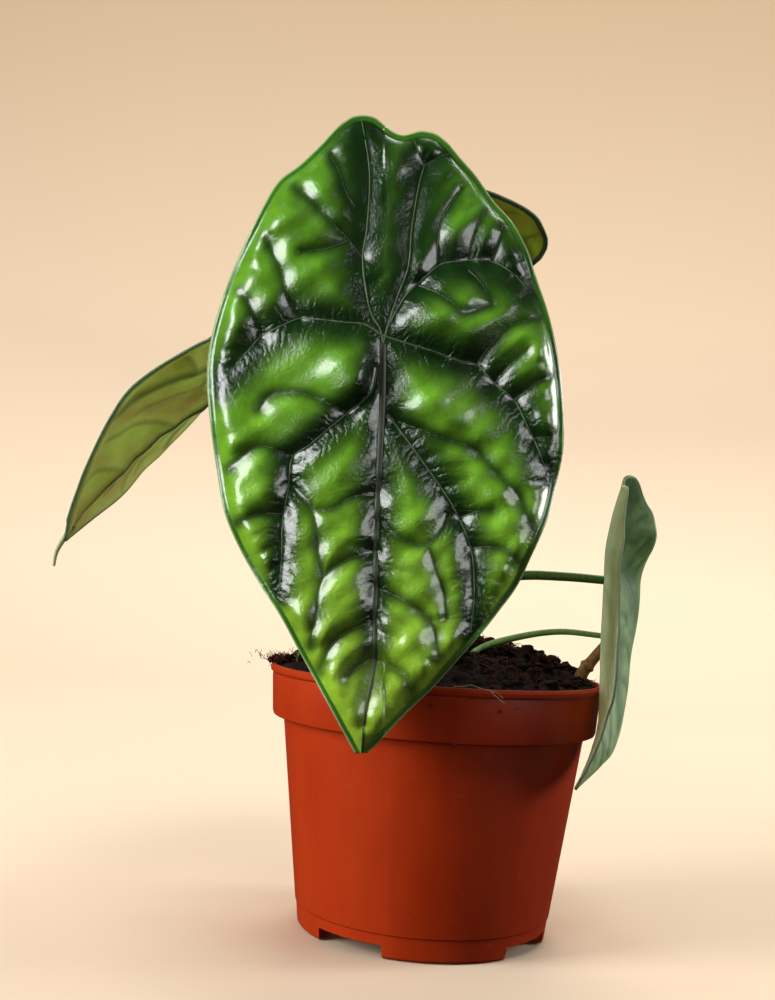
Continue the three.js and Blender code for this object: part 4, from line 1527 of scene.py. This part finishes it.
    def _heap(self) -> bpy.types.Object:
        """Makes the heap from a grid drawn to a disc, with a skirt down into the pot.

        Returns:
            The finished piece.
        """
        bm = bmesh.new()
        bmesh.ops.create_grid(bm, x_segments=150, y_segments=150, size=1)
        for vertex in bm.verts:
            u, v = vertex.co.x, vertex.co.y
            x = u * math.sqrt(1 - v * v / 2) * self.edge
            y = v * math.sqrt(1 - u * u / 2) * self.edge
            fall = 1 - min(math.hypot(x, y) / self.edge, 1) ** 12
            rough = noise.fractal(Vector((x, y, 0)) / 2.3, 0.7, 2.1, 5) * 0.75 * fall
            pits = -0.9 * max(0.0, noise.noise(Vector((x, y, 9)) / 3.1) - 0.12) * fall
            vertex.co = Vector((x, y, self.height(x, y) + rough + pits)) * MM
        rim = [edge for edge in bm.edges if edge.is_boundary]
        for radius, level in ((33.2, 46.0), (30.8, 43.0), (25.6, 4.2)):
            grown = bmesh.ops.extrude_edge_only(bm, edges=rim)["geom"]
            rim = [part for part in grown if isinstance(part, bmesh.types.BMEdge)]
            for vertex in {v for edge in rim for v in edge.verts}:
                around = Vector((vertex.co.x, vertex.co.y)).normalized() * radius * MM
                vertex.co = (around.x, around.y, level * MM)
        bmesh.ops.contextual_create(bm, geom=rim)
        bmesh.ops.recalc_face_normals(bm, faces=bm.faces)
        mesh = mesh_from(bm, "potting_mix_heap", math.radians(50))
        return dress(mesh, self.soil, "potting_mix", "potting_mix")

    def _crumbs(self) -> bpy.types.Object:
        """Scatters rough crumbs over the heap, some of them leaning over the rim at the left.

        Returns:
            The finished piece.
        """
        draw = random.Random(self.seed)
        bm = bmesh.new()
        for _ in range(self.crumbs):
            size = 0.25 + 1.2 * draw.random() ** 3
            distance = math.sqrt(draw.random()) * (self.edge - size)
            angle = draw.uniform(0, math.tau)
            x, y = distance * math.cos(angle), distance * math.sin(angle)
            centre = Vector((x, y, self.height(x, y) + size * 0.3)) * MM
            made = bmesh.ops.create_icosphere(bm, subdivisions=1, radius=size * MM)["verts"]
            turn = Matrix.Rotation(draw.uniform(0, 3), 3, "X") @ Matrix.Rotation(draw.uniform(0, 3), 3, "Y")
            squash = Matrix.Diagonal((draw.uniform(0.8, 1.4), 1, draw.uniform(0.5, 0.9)))
            for vertex in made:
                vertex.co = squash @ turn @ (vertex.co * draw.uniform(0.72, 1.18)) + centre
        return dress(mesh_from(bm, "potting_mix_crumbs", math.radians(35)), self.soil, "potting_mix")

    def _fibres(self) -> bpy.types.Object:
        """Scatters short bent fibres over the heap.

        Returns:
            The finished piece.
        """
        draw = random.Random(self.seed + 1)
        strands = []
        for _ in range(self.fibres):
            distance = math.sqrt(draw.random()) * (self.edge - 2)
            angle = draw.uniform(0, math.tau)
            start = np.array((distance * math.cos(angle), distance * math.sin(angle)))
            heading = draw.uniform(0, math.tau)
            length = draw.uniform(2, 7)
            points = []
            for step in range(7):
                share = step / 6
                heading += draw.uniform(-0.5, 0.5)
                start = start + np.array((math.cos(heading), math.sin(heading))) * length / 6
                x, y = start * min(1, self.edge / max(np.hypot(*start), 1e-6))
                lift = 0.35 + draw.uniform(0, 1.4) * math.sin(math.pi * share)
                points.append((x, y, self.height(x, y) + lift))
            strands.append((Line(points).at(np.linspace(0, 1, 14)), np.linspace(0.08, 0.04, 14)))
        return dress(tubes("potting_mix_fibres", strands, roundness=0), self.fibre, "potting_mix")

    def _moss(self) -> bpy.types.Object:
        """Makes the tuft of moss at the left, of short pointed leaves.

        Returns:
            The finished piece.
        """
        draw = random.Random(self.seed + 2)
        strands = []
        for _ in range(self.moss_leaves):
            x = draw.gauss(-28.5, 1.4)
            y = draw.gauss(-4, 2.2)
            base = np.array((x, y, self.height(x, y) - 0.2))
            lean = np.array((draw.uniform(-0.7, 0.7), draw.uniform(-0.7, 0.7), draw.uniform(0.7, 1.8)))
            strands.append((np.array([base, base + lean * 0.6, base + lean]), np.array((0.16, 0.13, 0.03))))
        return dress(tubes("moss_tuft", strands, roundness=0), self.moss, "potting_mix")


@dataclass
class Crown:
    """The short ringed stem that the petioles grow from."""

    bark: Material
    centre: tuple[float, float] = (-6.0, 1.0)
    radius: float = 6.6
    low: float = 46.3
    high: float = 62.3

    def build(self) -> bpy.types.Object:
        """Spins the ringed stem and roughens it.

        Returns:
            The finished crown.
        """
        steps = 40
        profile = [(0.0, self.low)]
        for i in range(steps):
            share = i / (steps - 1)
            ring = 0.35 * abs(math.sin(share * 3.5 * math.pi)) ** 0.5
            taper = 1 if share < 0.9 else 1 - ((share - 0.9) / 0.1) ** 2 * 0.25
            level = self.low + share * (self.high - self.low - 0.6)
            profile.append(((self.radius - 0.3 + ring) * taper, level))
        profile.append((0.0, self.high))
        bm = spun(profile, 48)
        middle = Vector((*self.centre, 0)) * MM
        for vertex in bm.verts:
            lump = 1 + 0.08 * noise.noise(vertex.co / (2.5 * MM))
            vertex.co = Vector((vertex.co.x * lump, vertex.co.y * lump, vertex.co.z)) + middle
        return dress(mesh_from(bm, "ringed_crown"), self.bark, "crown", "crown")


@dataclass(frozen=True)
class Softbox:
    """One soft area lamp that the camera doesn't see: sizes and places in metres, power in watts."""

    name: str
    place: tuple[float, float, float]
    size: tuple[float, float]
    power: float
    colour: str = "#FFFFFF"
    aim: tuple[float, float, float] = (0.0, 0.0, 0.09)
    glossy: bool = True
    diffuse: bool = True

    def hang(self) -> None:
        """Puts the lamp in the scene, turned to the point that it looks at."""
        light = bpy.data.lights.new(self.name, "AREA")
        light.shape = "RECTANGLE"
        light.size, light.size_y = self.size
        light.energy = self.power
        light.color = linear(self.colour)[:3]
        lamp = bpy.data.objects.new(self.name, light)
        way = Vector(self.aim) - Vector(self.place)
        lamp.matrix_world = Matrix.Translation(self.place) @ way.to_track_quat("-Z", "Y").to_matrix().to_4x4()
        lamp.visible_camera = False
        lamp.visible_glossy = self.glossy
        lamp.visible_diffuse = self.diffuse
        bpy.context.scene.collection.objects.link(lamp)


@dataclass(frozen=True)
class Studio:
    """The plain pale sweep, the soft lamps and the camera; the sweep's sizes are in millimetres."""

    sweep_radius: float = 1300.0
    sweep_height: float = 1600.0
    sweep_bend: float = 800.0
    sweep_drop: float = 0.2
    lens: float = 43.2
    world: str = "#F2E4CF"
    world_strength: float = 0.05
    softboxes: Sequence[Softbox] = (
        Softbox("left_softbox", (-0.72, -0.35, 0.3), (0.34, 0.6), 7.6),
        Softbox("right_edge_softbox", (0.85, 0.23, 0.25), (0.25, 0.5), 5.0),
        Softbox("top_softbox", (0.05, -0.3, 0.85), (0.5, 0.3), 2.6, glossy=False),
        Softbox("front_fill", (-0.35, -0.9, 0.1), (0.8, 0.5), 1.7, "#FFF6EA", glossy=False),
        Softbox("rear_softbox", (0.05, 0.65, 0.7), (0.5, 0.35), 3.0, "#FFF6EA"),
        Softbox("right_card", (0.62, -0.42, 0.26), (0.42, 0.42), 2.8, diffuse=False),
        Softbox("backdrop_lamp", (0.05, 0.45, 1.2), (1.2, 0.4), 10.2, aim=(0.05, 1.3, 0.5)),
    )

    def build(self) -> None:
        """Makes the sweep, the lamps, the surround and the camera."""
        self._sweep()
        self._surround()
        for softbox in self.softboxes:
            softbox.hang()
        self._camera()
        bpy.context.scene.view_settings.view_transform = "Standard"

    def _sweep(self) -> None:
        """Makes one seamless floor that curves up all round."""
        profile = [(0.0, -self.sweep_drop)]
        for i in range(21):
            angle = math.pi / 2 * i / 20
            radius = self.sweep_radius - self.sweep_bend + self.sweep_bend * math.sin(angle)
            profile.append((radius, self.sweep_bend * (1 - math.cos(angle)) - self.sweep_drop))
        profile.append((self.sweep_radius, self.sweep_height))
        bm = spun(profile, 96)
        bmesh.ops.reverse_faces(bm, faces=bm.faces)
        sweep = link("paper_sweep", mesh_from(bm, "paper_sweep"), PaperBackdrop().build())
        sweep.visible_glossy = False
        sweep.visible_diffuse = False

    def _surround(self) -> None:
        """Sets the even light that comes from all round."""
        world = bpy.data.worlds.new("surround")
        world.use_nodes = True
        background = world.node_tree.nodes["Background"]
        background.inputs["Color"].default_value = linear(self.world)
        background.inputs["Strength"].default_value = self.world_strength
        bpy.context.scene.world = world

    def _camera(self) -> None:
        """Sets the camera at the eye that the photograph was taken from."""
        view = FrontPose()
        right, up, forward = view.axes()
        camera = bpy.data.objects.new("camera", bpy.data.cameras.new("camera"))
        camera.data.lens = self.lens
        camera.data.sensor_width = 36
        camera.data.clip_start = 0.01
        turn = Matrix((right, up, -forward)).transposed().to_4x4()
        camera.matrix_world = Matrix.Translation(Vector(view.eye) * MM) @ turn
        bpy.context.scene.collection.objects.link(camera)
        bpy.context.scene.camera = camera


REAR_POSE = ArchedPose(
    midrib=((17.5, 25.1, 151.3), (0.2, 13.8, 149.7), (-17.8, 14.2, 140.2), (-35.6, 9.7, 128.3),
            (-55.6, 5.2, 110.7), (-65.7, 1.9, 101.6), (-75.9, -1.6, 88.7), (-83.7, -4.4, 77.2)),
    face=(0, 0, 1),
    left_rises=(12.8, 12.9, 12.1, 8.5, -10.4, -32.8),
    right_rises=(35.8, 33.1, 20.4, 13.2, 28.1, 43.6),
    size=1.124,
    curl=3.0,
    relief=0.45,
)  # fmt: skip
RIGHT_POSE = ArchedPose(
    midrib=((36.7, -14.4, 98.4), (34.9, -12.5, 90.7), (33.9, -11.3, 83.0), (34.0, -10.9, 75.4),
            (34.0, -11.4, 65.2), (34.1, -12.9, 55.8), (33.9, -15.2, 47.5), (32.7, -17.6, 42.5),
            (29.2, -21.8, 34.6)),
    face=(1, 0, 0),
    left_rises=(2.8, 4.2, 1.5, 1.9, 2.8, 12.2),
    right_rises=(60.1, 57.3, 33.6, 29.4, 32.6, 22.6),
    size=0.577,
    curl=0.0,
    relief=0.08,
    fold_rounding=1.0,
    mirrored=True,
)  # fmt: skip
DRIP_TIP = ((-81.6, -3.6, 80.5), (-83.4, -4.3, 77.4), (-84.6, -4.8, 74.4), (-84.8, -5.2, 71.4))


def build_blades() -> None:
    """Makes the three blades and the rear blade's drip tip."""
    rim = StemSkin("leaf_edge_living", "#64902E", "#84AA48", 0.6).build()
    midrib = StemSkin("leaf_midrib_living", "#2E3A2A", "#4E5644", 0.45).build()
    vein = StemSkin("leaf_vein_living", "#4A5A3E", "#6E7C5E", 0.5).build()
    under_rib = StemSkin("leaf_rib_living", "#5C6A30", "#707E40", 0.5).build()
    vein_grey = StemSkin("leaf_vein_grey", "#7A9A66", "#8CAA78", 0.5).build()
    under_grey = StemSkin("leaf_rib_grey", "#A9BC86", "#B6C898", 0.5).build()
    grey_rim = StemSkin("leaf_edge_grey", "#8A9470", "#98A27A", 0.8).build()
    dark_rim = StemSkin("leaf_edge_dark", "#4E6A4C", "#6A8660", 0.6).build()
    underside = LeafUnderside("leaf_underside_living", roll_width=2.8).build()
    bright = WaxyLeafFace("leaf_face_waxy_bright").build()
    Blade(
        "front_blade", FrontPose(), 148, 268, "front_blade", bright, underside, rim, midrib, vein, under_rib
    ).build()  # fmt: skip
    dark = WaxyLeafFace(
        "leaf_face_waxy_dark", tip_green="#3E6A3A", middle_green="#34603A", lobe_green="#2E5636"
    ).build()  # fmt: skip
    Blade(
        "rear_blade", REAR_POSE, 84, 150, "rear_blade", dark, underside, dark_rim, midrib, vein, under_rib
    ).build()  # fmt: skip
    # The right blade's face and underside are paler, greyer copies: partly the blade's own colour, partly
    # painted sheen and painted light that lift it out of shade
    grey = WaxyLeafFace(
        "leaf_face_waxy_grey_painted_sheen", vein_shade="#5E8A48", tip_green="#BCD898", middle_green="#96BC78",
        lobe_green="#84B058", band_green="#96BC78", roughness=0.5, coat=0.12, wrinkle_depth=0.06,
        pleat_depth=0.02,
    ).build()  # fmt: skip
    grey_underside = LeafUnderside(
        "leaf_underside_grey", tissue="#DCF0C8", flush="#D8D8BA", vein_shade="#D2E8C0", margin_tint="#D0E6B4",
        lobe_painted_shadow=0.9,
    ).build()  # fmt: skip
    Blade(
        "right_blade", RIGHT_POSE, 64, 116, "right_blade", grey, grey_underside, grey_rim, vein_grey, vein_grey,
        under_grey, vein_scale=0.45,
    ).build()  # fmt: skip
    drip = [(Line(DRIP_TIP).at(np.linspace(0, 1, 20)), np.linspace(0.7, 0.3, 20))]
    thread = StemSkin("leaf_thread_living", "#8E9A66", "#A9B283").build()
    dress(tubes("rear_blade_drip_tip", drip, 2), thread, "rear_blade")


def build_stems() -> None:
    """Makes the petioles, the old petiole and the dry stub."""
    green = StemSkin("petiole_living", "#34501F", "#4A6A2E", 0.35).build()
    old = StemSkin("petiole_old", "#56743A", "#6E8C4A", 0.4).build()
    dry = DampGrain("petiole_dried", dark="#5E4228", middle="#86643E", light="#B08C5C", grain=1.2).build()
    stems = (
        Stem(
            "front_petiole",
            ((-8.6, -1.6, 55), (-9, -2, 63), (-11.5, -4, 78), (-14.5, -8, 94), (-15.8, -15, 108),
             (-15, -27, 117.5), (-14, -39.4, 119.4)),
            (1.9, 1.5), "petiole", green, swollen=1.4, flare=1.25,
        ),
        Stem(
            "rear_petiole",
            ((-5.8, 4.2, 55), (-5.8, 5, 63), (-6.5, 9, 80), (-9, 13.5, 102), (-13.5, 15.5, 120),
             (-19, 14.4, 132), (-22.2, 13.3, 137.4)),
            (1.9, 1.4), "petiole", green, swollen=1.4, flare=1.25,
        ),
        Stem(
            "right_petiole",
            ((-2.4, -0.3, 55), (-1.6, -0.6, 62.5), (1.8, -1.8, 69), (8, -3.8, 74), (16.5, -6, 76.2),
             (26, -8.5, 76.6), (34.3, -11, 76.4)),
            (1.3, 0.9), "petiole", green, swollen=1.5,
        ),
        Stem(
            "old_petiole",
            ((3.5, 0, 49), (5, -0.5, 55.5), (9.1, -2, 59.8), (17.5, -3, 63.1), (25.9, -4, 64.8),
             (35.4, -6.5, 64.6)),
            (0.85, 0.6), "old_petiole", old,
        ),
        Stem(
            "dry_stub",
            ((29, -4, 49.5), (31.3, -4, 56.6), (33.1, -4, 59.2), (35, -4, 61.8), (36.5, -4.2, 63.8)),
            (1.6, 1.0), "dry_stub", dry, knots=(0.55,),
        ),
    )  # fmt: skip
    for stem in stems:
        stem.build()


def main() -> None:
    logging.basicConfig(level=logging.INFO, format="%(message)s")
    Studio().build()
    NurseryPot(MouldedPolypropylene().build()).build()
    PottingMix(
        DampGrain("peat_milled_damp").build(),
        DampGrain("root_fibre_dried", dark="#3A1A0E", middle="#66321E", light="#8A5234").build(),
        DampGrain("root_fibre_pale", dark="#9A7A5A", middle="#C0A07C", light="#D8C0A0").build(),
        StemSkin("moss_living", "#3C5A1E", "#6A8A34", 0.6).build(),
    ).build()
    Crown(DampGrain("crown_bark_living", dark="#2C2412", middle="#4E4426", light="#7A6C42").build()).build()
    build_stems()
    build_blades()


if __name__ == "__main__":
    main()
